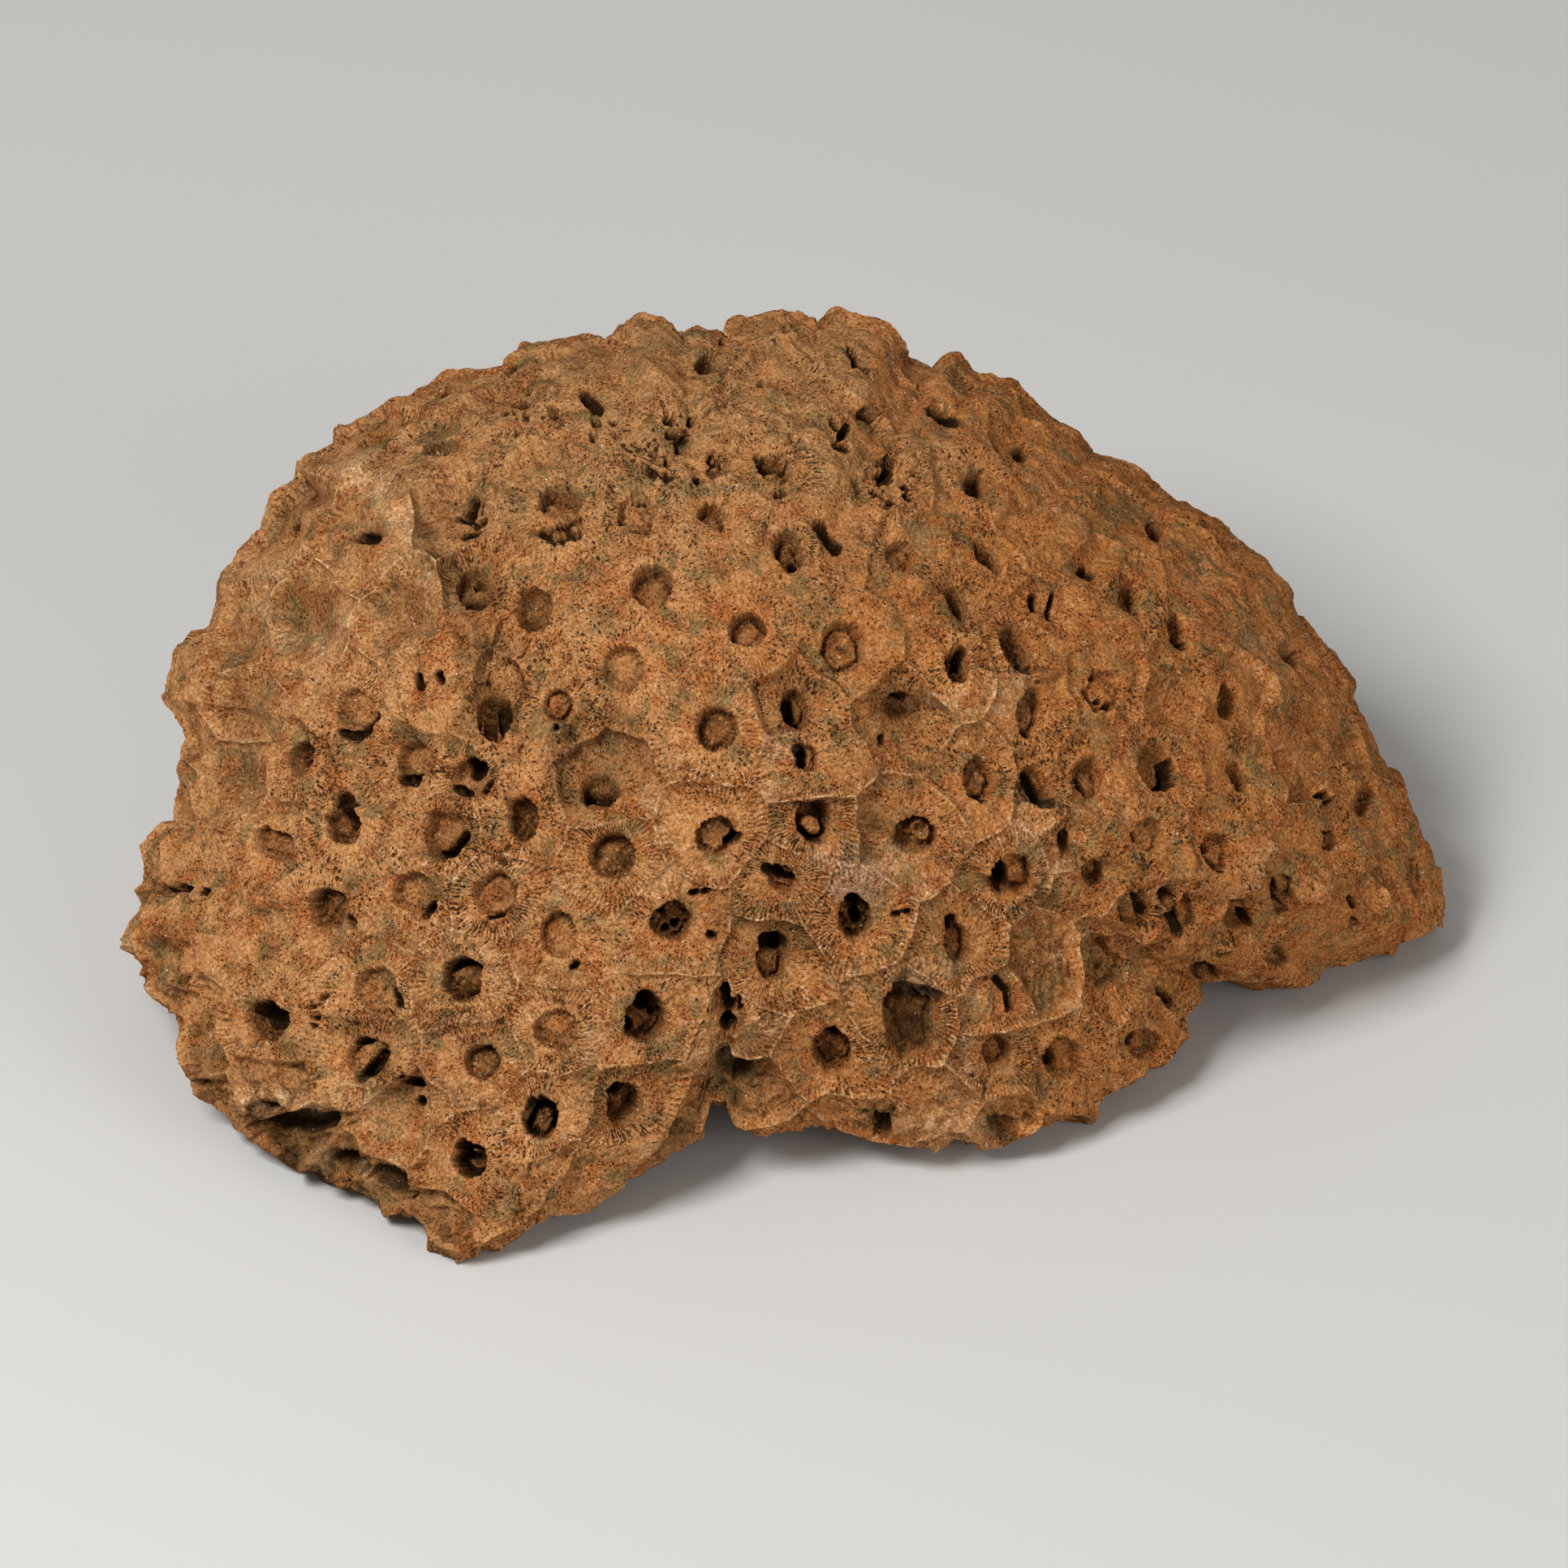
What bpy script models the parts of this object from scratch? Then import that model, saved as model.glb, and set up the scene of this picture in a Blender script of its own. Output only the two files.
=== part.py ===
# Fossil colonial coral: a broken dome of many-sided cups, cut flat underneath so that it stands
#
# The colony is one piece. A smooth body is worked out first, in the plane that the colony is looked
# at in: across to the right, up, and out towards the eye. Cup middles spread over that body, each
# corner where three cups meet becomes a point of the thin walls, and every cup is then sunk.

import math

import bmesh
import bpy
import numpy as np
from mathutils import Vector

# Real sizes in millimetres
WIDTH = 150.0
FRONT_DEPTH = 36.0
BACK_DEPTH = 54.0
GROUND = -32.4
MIDDLE = (-0.14, 9.32)
CUP_SPACING = 8.0
SEEN_CUP_SPACING = 9.6
CUP_LIP = 1.2
LOWEST_CUP = 4.5
HIDDEN_PIT_RADIUS = (1.6, 2.6)
HIDDEN_PIT_DEPTH = (2.0, 5.0)
BROKEN_STEP = 1.6
BROKEN_BULGE = 0.4
WELD_GAP = 0.03

# Shares: of a cup's width that its pit's lip and floor take, of a broken face that its top takes, and of
# a corner that each of its three cups keeps at least
LIP_SHARE = (0.38, 0.72)
LIP_WIDENING = 1.1
FLOOR_SHARE = 0.68
FLOOR_RISE = 0.4
BROKEN_TOP_SHARE = (0.75, 0.9)
SMALLEST_SHARE = 0.12

VIEW_TILT = math.radians(35.0)
UNDERSIDE_TILT = -0.12
MM = 0.001
SEED = 11
SPARE_PLACES = 5000
NORMAL_STEP = 0.02
NEARLY_STRAIGHT = 0.9

# Places in the view, in pixels of the reference frame
FRAME_MIDDLE_PX = (966, 966)
HEART_PX = (900, 950)
LEFT_TIP_PX = (141, 1166)
RIGHT_TIP_PX = (1788, 1145)
MM_PER_PX = WIDTH / (RIGHT_TIP_PX[0] - LEFT_TIP_PX[0])

OUTLINE_PX = (
    (141, 1166), (148, 1146), (165, 1118), (173, 1085), (168, 1048), (188, 1023), (214, 1014),
    (212, 998), (222, 957), (229, 908), (218, 875), (204, 860), (216, 805), (231, 784), (252, 768),
    (264, 720), (296, 687), (325, 650), (333, 612), (360, 592), (362, 567), (392, 559), (418, 527),
    (453, 510), (480, 494), (511, 483), (548, 463), (619, 452), (645, 432), (713, 415), (747, 417),
    (777, 385), (815, 389), (838, 409), (858, 402), (897, 412), (901, 391), (937, 390), (963, 380),
    (1014, 398), (1028, 380), (1077, 387), (1094, 396), (1119, 439), (1155, 450), (1181, 427),
    (1212, 460), (1243, 468), (1274, 498), (1325, 531), (1350, 564), (1382, 568), (1412, 588),
    (1450, 618), (1500, 643), (1542, 682), (1595, 730), (1604, 760), (1635, 797), (1671, 840),
    (1673, 862), (1700, 915), (1714, 951), (1736, 973), (1760, 1020), (1778, 1076), (1788, 1125),
    (1788, 1145), (1748, 1158), (1694, 1180), (1638, 1193), (1614, 1214), (1567, 1216),
    (1522, 1207), (1484, 1216), (1489, 1233), (1469, 1252), (1454, 1296), (1415, 1332),
    (1370, 1353), (1339, 1379), (1267, 1403), (1226, 1412), (1175, 1406), (1155, 1417),
    (1099, 1404), (1029, 1384), (930, 1397), (908, 1388), (904, 1368), (892, 1355), (874, 1364),
    (866, 1382), (864, 1403), (840, 1421), (817, 1438), (790, 1446), (761, 1461), (724, 1481),
    (677, 1494), (640, 1519), (598, 1543), (561, 1557), (545, 1540), (525, 1509), (463, 1482),
    (445, 1471), (405, 1460), (390, 1446), (339, 1420), (300, 1390), (254, 1353), (215, 1306),
    (217, 1260), (210, 1238), (180, 1222), (175, 1205), (172, 1191), (158, 1177),
)

# How far the outline stands towards the eye, in millimetres, at some of its points
OUTLINE_OUT = (
    (141, 1166, -10), (216, 1238, -6), (215, 1306, 0), (300, 1390, 6), (400, 1447, 11),
    (500, 1499, 16), (561, 1557, 20), (650, 1509, 19), (760, 1461, 16), (840, 1421, 13),
    (1000, 1389, 9), (1200, 1404, 6), (1302, 1385, 2), (1415, 1332, -4), (1485, 1240, -12),
    (1615, 1205, -20), (1748, 1158, -29), (1788, 1145, -33), (1700, 915, -32), (1440, 606, -30),
    (1190, 430, -26), (900, 390, -22), (620, 450, -21), (400, 549, -19), (264, 720, -17),
    (220, 940, -14),
)
HEART_OUT = -8.0

# How full the body is round its outline: 1.4 gives a sharp broken rim, 2 a round shoulder
FULLNESS = ((561, 1557, 1.4), (1200, 1404, 1.4), (1485, 1240, 1.6), (1788, 1145, 1.8), (1500, 643, 2.0),
            (900, 390, 2.0), (400, 549, 1.9), (220, 940, 1.7), (141, 1166, 1.6), (254, 1353, 1.5))

# How many degrees round the heart the two tables above are blended over
LEAN_BLEND = 15
FULLNESS_BLEND = 31

# Broad swellings and hollows of the front: place, radius in pixels, height in millimetres. They are a
# ridge and a groove at the left, the hollow under the broken lip at the lower left, and single swellings.
RELIEF_FADE = 3.0
RELIEF_PX = (
    (480, 625, 34, 2.4), (515, 700, 34, 2.2), (565, 765, 32, 1.8),
    (556, 640, 34, -2.6), (588, 715, 34, -2.4), (622, 795, 36, -2.4), (622, 868, 32, -1.8),
    (300, 1392, 28, -4.5), (352, 1414, 30, -5.5), (415, 1452, 30, -5.5), (478, 1480, 28, -5.0),
    (524, 1512, 24, -4.0), (336, 1340, 26, 1.6), (415, 1392, 24, 1.2),
    (750, 930, 62, -4.5), (1120, 905, 50, -4.0), (1190, 845, 48, 3.0), (1265, 835, 40, 1.5),
    (430, 690, 90, 3.0), (520, 800, 60, 1.8), (645, 740, 70, -1.2), (610, 640, 50, -1.0),
    (379, 768, 36, -1.5), (1362, 850, 45, 1.5), (905, 1335, 50, -3.0), (1040, 720, 80, 1.5),
    (1085, 1000, 45, -2.0), (930, 1240, 55, 2.0), (1122, 1215, 45, 1.0), (1500, 800, 80, 1.5),
)

# Cups of the growth surface: middle, width and height of the pit in pixels, depth in millimetres
CUPS_PX = (
    (1059, 444, 20, 14, 3.0), (1167, 510, 38, 22, 4.0), (1260, 555, 25, 25, 3.0),
    (1203, 597, 30, 26, 4.0), (1038, 535, 36, 36, 3.0), (956, 576, 45, 35, 4.0),
    (1100, 597, 44, 58, 4.0), (727, 495, 20, 30, 4.0), (643, 502, 40, 30, 3.0),
    (838, 535, 48, 48, 3.0), (690, 625, 56, 80, 5.5), (785, 629, 40, 45, 4.0),
    (878, 633, 38, 28, 4.0), (579, 635, 40, 45, 4.0), (448, 660, 30, 18, 4.0),
    (804, 724, 55, 58, 4.0), (660, 753, 46, 56, 5.0), (587, 722, 35, 50, 5.0),
    (972, 678, 35, 54, 5.0), (1030, 656, 32, 30, 4.0), (1112, 684, 40, 40, 2.0),
    (1214, 687, 27, 45, 4.0), (1181, 739, 27, 45, 4.0), (1300, 748, 50, 36, 3.0),
    (1270, 662, 26, 26, 1.5), (1339, 700, 24, 24, 3.0), (1428, 650, 24, 28, 4.0),
    (1392, 737, 24, 38, 4.0), (1480, 706, 20, 24, 1.5), (1452, 777, 26, 42, 5.0),
    (1596, 806, 20, 40, 4.0), (1514, 869, 28, 40, 4.0), (1437, 880, 30, 34, 2.0),
    (1423, 946, 50, 62, 4.0), (1526, 956, 26, 42, 3.0), (1612, 975, 26, 36, 2.5),
    (1682, 985, 25, 45, 3.0), (1642, 1036, 20, 26, 2.0), (1592, 882, 26, 34, 1.5),
    (1660, 907, 22, 28, 1.5), (1415, 1028, 36, 45, 2.5), (1498, 1048, 36, 44, 3.0),
    (1683, 1105, 58, 58, 2.0), (1582, 1100, 30, 50, 3.0), (1525, 1127, 30, 40, 4.0),
    (1450, 1122, 26, 52, 5.0), (1396, 1121, 36, 48, 3.0), (1346, 1078, 26, 36, 2.5),
    (1366, 1188, 46, 56, 2.5), (1311, 1041, 18, 36, 3.0), (1343, 958, 36, 50, 3.0),
    (1275, 970, 36, 56, 4.0), (1207, 960, 44, 56, 3.5), (1269, 876, 36, 64, 4.0),
    (1250, 797, 37, 62, 6.0), (1178, 819, 34, 42, 5.0), (1362, 850, 48, 52, 2.5),
    (1115, 878, 44, 40, 4.0), (1128, 1031, 50, 46, 2.5), (1005, 1011, 42, 52, 4.0),
    (982, 872, 36, 50, 4.0), (995, 935, 24, 28, 3.0), (1041, 797, 55, 62, 2.0),
    (921, 778, 46, 42, 3.5), (883, 898, 50, 54, 4.0), (770, 825, 52, 58, 2.0),
    (690, 870, 34, 40, 2.0), (612, 881, 46, 60, 4.0), (741, 971, 46, 46, 5.0),
    (884, 1030, 52, 50, 4.0), (755, 1054, 55, 58, 5.0), (645, 1008, 42, 56, 4.0),
    (583, 958, 44, 45, 4.0), (506, 937, 42, 46, 3.0), (546, 1026, 55, 60, 4.0),
    (511, 1098, 58, 60, 4.0), (423, 1013, 42, 50, 6.0), (404, 1118, 46, 50, 5.0),
    (243, 1084, 44, 40, 3.0), (289, 872, 30, 30, 1.5), (439, 875, 47, 50, 4.0),
    (379, 768, 60, 56, 1.5), (500, 758, 46, 40, 1.5), (297, 797, 36, 30, 1.0),
    (530, 846, 40, 30, 3.0), (295, 962, 40, 40, 1.0), (290, 1150, 36, 36, 1.0),
    (331, 1256, 52, 50, 6.0), (467, 1217, 55, 55, 2.0), (571, 1206, 54, 54, 6.0),
    (612, 1101, 55, 56, 2.5), (690, 1150, 46, 60, 2.0), (829, 1134, 52, 52, 6.0),
    (964, 1084, 46, 34, 4.0), (1054, 1132, 42, 50, 6.0), (1182, 1164, 30, 65, 6.0),
    (1245, 1076, 50, 56, 4.0), (955, 1179, 42, 65, 6.0), (798, 1255, 56, 60, 6.0),
    (899, 1240, 40, 46, 4.0), (686, 1266, 56, 50, 2.0), (594, 1306, 46, 46, 3.5),
    (454, 1302, 55, 50, 4.0), (506, 1346, 40, 42, 3.0), (668, 1375, 46, 50, 6.0),
    (775, 1363, 46, 58, 6.0), (581, 1426, 44, 46, 6.0), (1026, 1300, 52, 58, 6.0),
    (1122, 1250, 66, 104, 9.0), (1145, 1347, 40, 30, 3.0), (1230, 1298, 34, 42, 2.5),
    (1228, 1224, 30, 40, 3.0), (1310, 1303, 52, 52, 4.0), (1409, 1286, 42, 40, 4.0),
    (1437, 1241, 36, 42, 4.0), (1488, 1190, 34, 30, 4.0), (1580, 1180, 24, 26, 2.0),
    (650, 1462, 40, 44, 2.0), (724, 1440, 36, 40, 2.0),
)

# Broken faces that show in the view, and knobs that stand out on the outline
BROKEN_PX = ((905, 1335), (325, 1335), (240, 1290), (278, 1352), (350, 1405), (435, 1462), (500, 1497),
             (1290, 1190), (1090, 1378), (1236, 1388), (560, 1500), (222, 1215))
KNOBS_PX = ((141, 1166), (561, 1557), (1788, 1137), (1181, 427), (795, 386), (948, 388), (1052, 383),
            (176, 1040), (178, 1210), (817, 1438), (1262, 1406), (1160, 1416), (215, 1300))


def in_view(places_px):
    """Turn pixel places into millimetres across and up from the heart."""
    places = np.asarray(places_px, dtype=float)
    across = (places[:, 0] - HEART_PX[0]) * MM_PER_PX
    up = (HEART_PX[1] - places[:, 1]) * MM_PER_PX
    return across, up


def round_table(places_px, values):
    """Sort values by their angle round the heart."""
    across, up = in_view(places_px)
    angles = np.arctan2(up, across)
    order = np.argsort(angles)
    return angles[order], np.asarray(values, dtype=float)[order]


def soft_round_table(rows, width_degrees):
    """Spread a few values round the heart, blurred so that no step is left between them."""
    rows = np.asarray(rows, dtype=float)
    angles, values = round_table(rows[:, :2], rows[:, 2])
    ring = np.radians(np.arange(-180, 180))
    spread = np.interp(ring, angles, values, period=2 * math.pi)
    weights = np.hanning(width_degrees)
    weights /= weights.sum()
    padded = np.concatenate((spread[-width_degrees:], spread, spread[:width_degrees]))
    return ring, np.convolve(padded, weights, mode="same")[width_degrees:-width_degrees]


def outline_table():
    """Reach of the outline from the heart, by angle."""
    across, up = in_view(OUTLINE_PX)
    return round_table(OUTLINE_PX, np.hypot(across, up))


OUTLINE = outline_table()
LEAN = soft_round_table(OUTLINE_OUT, LEAN_BLEND)
ROUNDNESS = soft_round_table(FULLNESS, FULLNESS_BLEND)


def by_angle(table, angles):
    """Read a round table at any angles."""
    return np.interp(angles, table[0], table[1], period=2 * math.pi)


def unit(vectors):
    """Scale vectors to length one."""
    return vectors / np.linalg.norm(vectors, axis=1, keepdims=True)


def directions_to(places_px):
    """Directions from the heart that meet the front of the body at these places in the view."""
    across, up = in_view(places_px)
    angles = np.arctan2(up, across)
    reach = by_angle(OUTLINE, angles)
    share = np.clip(np.hypot(across, up) / reach, 0.0, 1.0)
    power = by_angle(ROUNDNESS, angles)
    out = FRONT_DEPTH * (1.0 - share ** power) ** (1.0 / power)
    flat = share * reach
    return unit(np.column_stack((flat * np.cos(angles), flat * np.sin(angles), out)))


def body(directions):
    """Points of the smooth body, in millimetres above the ground, along directions from its heart."""
    angles = np.arctan2(directions[:, 1], directions[:, 0])
    level = np.hypot(directions[:, 0], directions[:, 1])
    front = directions[:, 2] > 0
    reach = by_angle(OUTLINE, angles)
    power = by_angle(ROUNDNESS, angles)
    depth = np.where(front, FRONT_DEPTH, BACK_DEPTH)
    length = ((level / reach) ** power + (np.abs(directions[:, 2]) / depth) ** power) ** (-1.0 / power)
    points = directions * length[:, None]
    share = (level * length / reach) ** 2
    out = points[:, 2] + HEART_OUT + (by_angle(LEAN, angles) - HEART_OUT) * share
    heart = ((HEART_PX[0] - FRAME_MIDDLE_PX[0]) * MM_PER_PX, (FRAME_MIDDLE_PX[1] - HEART_PX[1]) * MM_PER_PX)
    facing = np.clip(directions[:, 2] * RELIEF_FADE, 0.0, 1.0)
    for x, y, radius, height in RELIEF_PX:
        (across,), (up,) = in_view(((x, y),))
        apart = np.hypot(points[:, 0] - across, points[:, 1] - up) / (radius * MM_PER_PX)
        out = out + facing * height * np.exp(-apart ** 2)
    across = points[:, 0] + heart[0]
    up = points[:, 1] + heart[1]
    world_y = up * math.sin(VIEW_TILT) - out * math.cos(VIEW_TILT)
    world_z = up * math.cos(VIEW_TILT) + out * math.sin(VIEW_TILT)
    return np.column_stack((across - MIDDLE[0], world_y - MIDDLE[1], world_z - GROUND))


def outward(directions):
    """Outward normals of the smooth body."""
    helper = np.where(np.abs(directions[:, 2:3]) < NEARLY_STRAIGHT, (0.0, 0.0, 1.0), (1.0, 0.0, 0.0))
    side = unit(np.cross(directions, helper))
    rise = np.cross(directions, side)
    middle = body(directions)
    one = body(unit(directions + side * NORMAL_STEP)) - middle
    two = body(unit(directions + rise * NORMAL_STEP)) - middle
    return unit(np.cross(one, two))


def even_directions(count):
    """Directions spread evenly over a sphere along a golden spiral."""
    index = np.arange(count) + 0.5
    height = 1.0 - 2.0 * index / count
    turn = index * math.pi * (3.0 - math.sqrt(5.0))
    radius = np.sqrt(1.0 - height ** 2)
    return np.column_stack((radius * np.cos(turn), radius * np.sin(turn), height))


def fill_gaps(directions):
    """Add directions wherever the body is bare for more than the cup spacing, furthest point first."""
    spare = even_directions(SPARE_PLACES)
    unseen = spare[:, 2] < 0
    places = body(spare)
    bare = np.full(len(spare), np.inf)
    for place in body(directions):
        bare = np.minimum(bare, np.linalg.norm(places - place, axis=1))
    needed = np.where(unseen, CUP_SPACING, SEEN_CUP_SPACING)
    chosen = []
    while (bare / needed).max() > 1.0:
        pick = int((bare / needed).argmax())
        chosen.append(spare[pick])
        bare = np.minimum(bare, np.linalg.norm(places - places[pick], axis=1))
    return np.vstack((directions, np.array(chosen)))


def corner_directions(directions, triangles):
    """Directions where three cups meet, as far from one middle as from the next where that fits."""
    places = body(directions)[triangles]
    sides = np.stack([((places[:, (k + 1) % 3] - places[:, (k + 2) % 3]) ** 2).sum(axis=1) for k in range(3)])
    weights = sides * (sides.sum(axis=0) - 2.0 * sides)
    weights /= weights.sum(axis=0)
    weights = np.clip(weights, SMALLEST_SHARE, 1.0)
    return unit((directions[triangles] * weights.T[:, :, None]).sum(axis=1))


def meeting_triangles(directions):
    """Neighbouring cup middles by threes, from the hull of their directions."""
    hull = bmesh.new()
    for direction in directions:
        hull.verts.new(direction)
    bmesh.ops.convex_hull(hull, input=hull.verts)
    hull.verts.index_update()
    triangles = np.array([[vert.index for vert in face.verts] for face in hull.faces])
    hull.free()
    return triangles


def corners_in_order(directions, corners, triangles):
    """For each cup, its corner numbers in turn, counterclockwise as seen from outside."""
    rings = [[] for _ in directions]
    for number, triangle in enumerate(triangles):
        for cup in triangle:
            rings[cup].append(number)
    ordered = []
    for direction, ring in zip(directions, rings):
        upright = abs(direction[2]) < NEARLY_STRAIGHT
        helper = np.array((0.0, 0.0, 1.0)) if upright else np.array((1.0, 0.0, 0.0))
        side = np.cross(helper, direction)
        rise = np.cross(direction, side)
        turns = [math.atan2(corners[number] @ rise, corners[number] @ side) for number in ring]
        ordered.append([ring[k] for k in np.argsort(turns)])
    return ordered


def sink(mesh, face, middle, push, share):
    """Extrude a face, shrink it round a middle to the share and push it along a vector."""
    new_face = bmesh.ops.extrude_discrete_faces(mesh, faces=[face])["faces"][0]
    for vert in new_face.verts:
        vert.co = middle.lerp(vert.co, share) + push
    return new_face


def close_cup(mesh, face, tip):
    """Fan a face round one point."""
    centre = bmesh.ops.poke(mesh, faces=[face])["verts"][0]
    centre.co = tip


def sink_cup(mesh, face, middle, normal, pit_radius, depth):
    """Sink one cup: a gentle slope from the wall to a lip, then a steep pit with a flat floor."""
    wall_radius = sum((vert.co - middle).length for vert in face.verts) / len(face.verts)
    smallest, largest = LIP_SHARE
    lip_share = min(largest, max(smallest, LIP_WIDENING * pit_radius / wall_radius))
    lip_face = sink(mesh, face, middle, -normal * CUP_LIP, lip_share)
    floor_middle = middle - normal * CUP_LIP
    floor_face = sink(mesh, lip_face, floor_middle, -normal * (depth - FLOOR_RISE * CUP_LIP), FLOOR_SHARE)
    close_cup(mesh, floor_face, floor_middle - normal * depth)


def break_cup(mesh, face, middle, normal, chance):
    """Make one broken face: a low step with a rough top."""
    step = chance.uniform(0.0, BROKEN_STEP)
    top = sink(mesh, face, middle, -normal * step, chance.uniform(*BROKEN_TOP_SHARE))
    close_cup(mesh, top, middle - normal * chance.uniform(-BROKEN_BULGE, BROKEN_STEP))


def coral_mesh():
    """The whole colony as one closed skin, in metres."""
    listed = np.vstack((directions_to([row[:2] for row in CUPS_PX]), directions_to(BROKEN_PX),
                        directions_to(KNOBS_PX)))
    directions = fill_gaps(listed)
    triangles = meeting_triangles(directions)
    corners = corner_directions(directions, triangles)
    rings = corners_in_order(directions, corners, triangles)
    middles = body(directions)
    normals = outward(directions)
    chance = np.random.default_rng(SEED)
    mesh = bmesh.new()
    wall_points = [mesh.verts.new(point) for point in body(corners)]
    faces = [mesh.faces.new([wall_points[number] for number in ring]) for ring in rings]
    knobs_from = len(CUPS_PX) + len(BROKEN_PX)
    listed_end = knobs_from + len(KNOBS_PX)
    for number, face in enumerate(faces):
        middle = Vector(middles[number])
        normal = Vector(normals[number])
        low = middle.z < LOWEST_CUP
        underneath = normals[number][2] < UNDERSIDE_TILT
        broken = len(CUPS_PX) <= number < knobs_from or low or (number >= listed_end and underneath)
        if knobs_from <= number < listed_end:
            close_cup(mesh, face, middle)
        elif broken:
            break_cup(mesh, face, middle, normal, chance)
        elif number < len(CUPS_PX):
            wide, tall, depth = CUPS_PX[number][2:]
            mean_width = (wide + tall) / 2.0 * MM_PER_PX
            sink_cup(mesh, face, middle, normal, mean_width / 2.0, depth)
        else:
            radius = chance.uniform(*HIDDEN_PIT_RADIUS)
            sink_cup(mesh, face, middle, normal, radius, chance.uniform(*HIDDEN_PIT_DEPTH))
    bmesh.ops.triangulate(mesh, faces=mesh.faces)
    bmesh.ops.scale(mesh, vec=(MM, MM, MM), verts=mesh.verts)
    return mesh


def coral_material():
    """Iron-stained limestone."""
    material = bpy.data.materials.new("iron_stained_limestone")
    material.use_nodes = True
    surface = material.node_tree.nodes["Principled BSDF"]
    surface.inputs["Base Color"].default_value = (0.27, 0.115, 0.042, 1.0)
    surface.inputs["Roughness"].default_value = 0.85
    surface.inputs["Metallic"].default_value = 0.0
    return material


def ground_cutter(collection):
    """A block below ground level that is wider than the colony."""
    bpy.ops.mesh.primitive_cube_add(size=2.0 * WIDTH * MM, location=(0.0, 0.0, -WIDTH * MM))
    cutter = bpy.context.active_object
    cutter.name = "below_ground"
    cutter.display_type = "WIRE"
    cutter.hide_render = True
    for home in list(cutter.users_collection):
        home.objects.unlink(cutter)
    collection.objects.link(cutter)
    return cutter


def stand_on_ground(colony, cutter):
    """Cut the colony off flat at ground level."""
    cut = colony.modifiers.new("flat_base", "BOOLEAN")
    cut.operation = "DIFFERENCE"
    cut.solver = "EXACT"
    cut.object = cutter
    tidy = colony.modifiers.new("tidy_cut", "WELD")
    tidy.merge_threshold = WELD_GAP * MM


def build():
    """Clear the scene, then add the colony and cut its base."""
    for thing in list(bpy.data.objects):
        bpy.data.objects.remove(thing, do_unlink=True)
    collection = bpy.data.collections.new("fossil_coral")
    cutters = bpy.data.collections.new("cutters")
    bpy.context.scene.collection.children.link(collection)
    bpy.context.scene.collection.children.link(cutters)
    mesh = coral_mesh()
    data = bpy.data.meshes.new("coral_colony")
    mesh.to_mesh(data)
    mesh.free()
    data.materials.append(coral_material())
    colony = bpy.data.objects.new("coral_colony", data)
    collection.objects.link(colony)
    stand_on_ground(colony, ground_cutter(cutters))


build()
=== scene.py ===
# Fossil colonial coral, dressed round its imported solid
import math

import bmesh
import bpy
import numpy as np
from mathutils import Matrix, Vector


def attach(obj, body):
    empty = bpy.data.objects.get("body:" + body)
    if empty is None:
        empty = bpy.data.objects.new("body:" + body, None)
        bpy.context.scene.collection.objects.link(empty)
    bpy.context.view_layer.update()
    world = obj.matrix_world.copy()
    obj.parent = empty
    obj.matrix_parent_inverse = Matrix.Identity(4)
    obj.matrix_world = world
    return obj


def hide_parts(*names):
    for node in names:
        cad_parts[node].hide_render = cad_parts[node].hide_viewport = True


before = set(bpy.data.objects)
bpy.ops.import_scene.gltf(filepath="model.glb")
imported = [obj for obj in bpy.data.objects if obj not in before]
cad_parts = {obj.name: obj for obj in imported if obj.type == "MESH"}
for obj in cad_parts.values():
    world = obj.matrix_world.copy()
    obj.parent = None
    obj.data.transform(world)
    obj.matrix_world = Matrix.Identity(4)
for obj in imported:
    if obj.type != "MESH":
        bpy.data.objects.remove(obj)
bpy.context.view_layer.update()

# The body that the cups cover. It is a broken dome of limestone, about 150 mm wide, with a sharp broken
# rim in front and a round shoulder behind. It is worked out in millimetres in the plane that it is
# looked at in: across to the right, up, and out towards the eye, 35 degrees above level.
WIDTH = 150.0
FRONT_DEPTH = 36.0
BACK_DEPTH = 54.0
GROUND = -32.4
MIDDLE = (-0.14, 9.32)
VIEW_TILT = math.radians(35.0)
FRAME_MIDDLE_PX = (966, 966)
HEART_PX = (900, 950)
LEFT_TIP_PX = (141, 1166)
RIGHT_TIP_PX = (1788, 1145)
MM_PER_PX = WIDTH / (RIGHT_TIP_PX[0] - LEFT_TIP_PX[0])
HEART_OUT = -8.0

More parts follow.
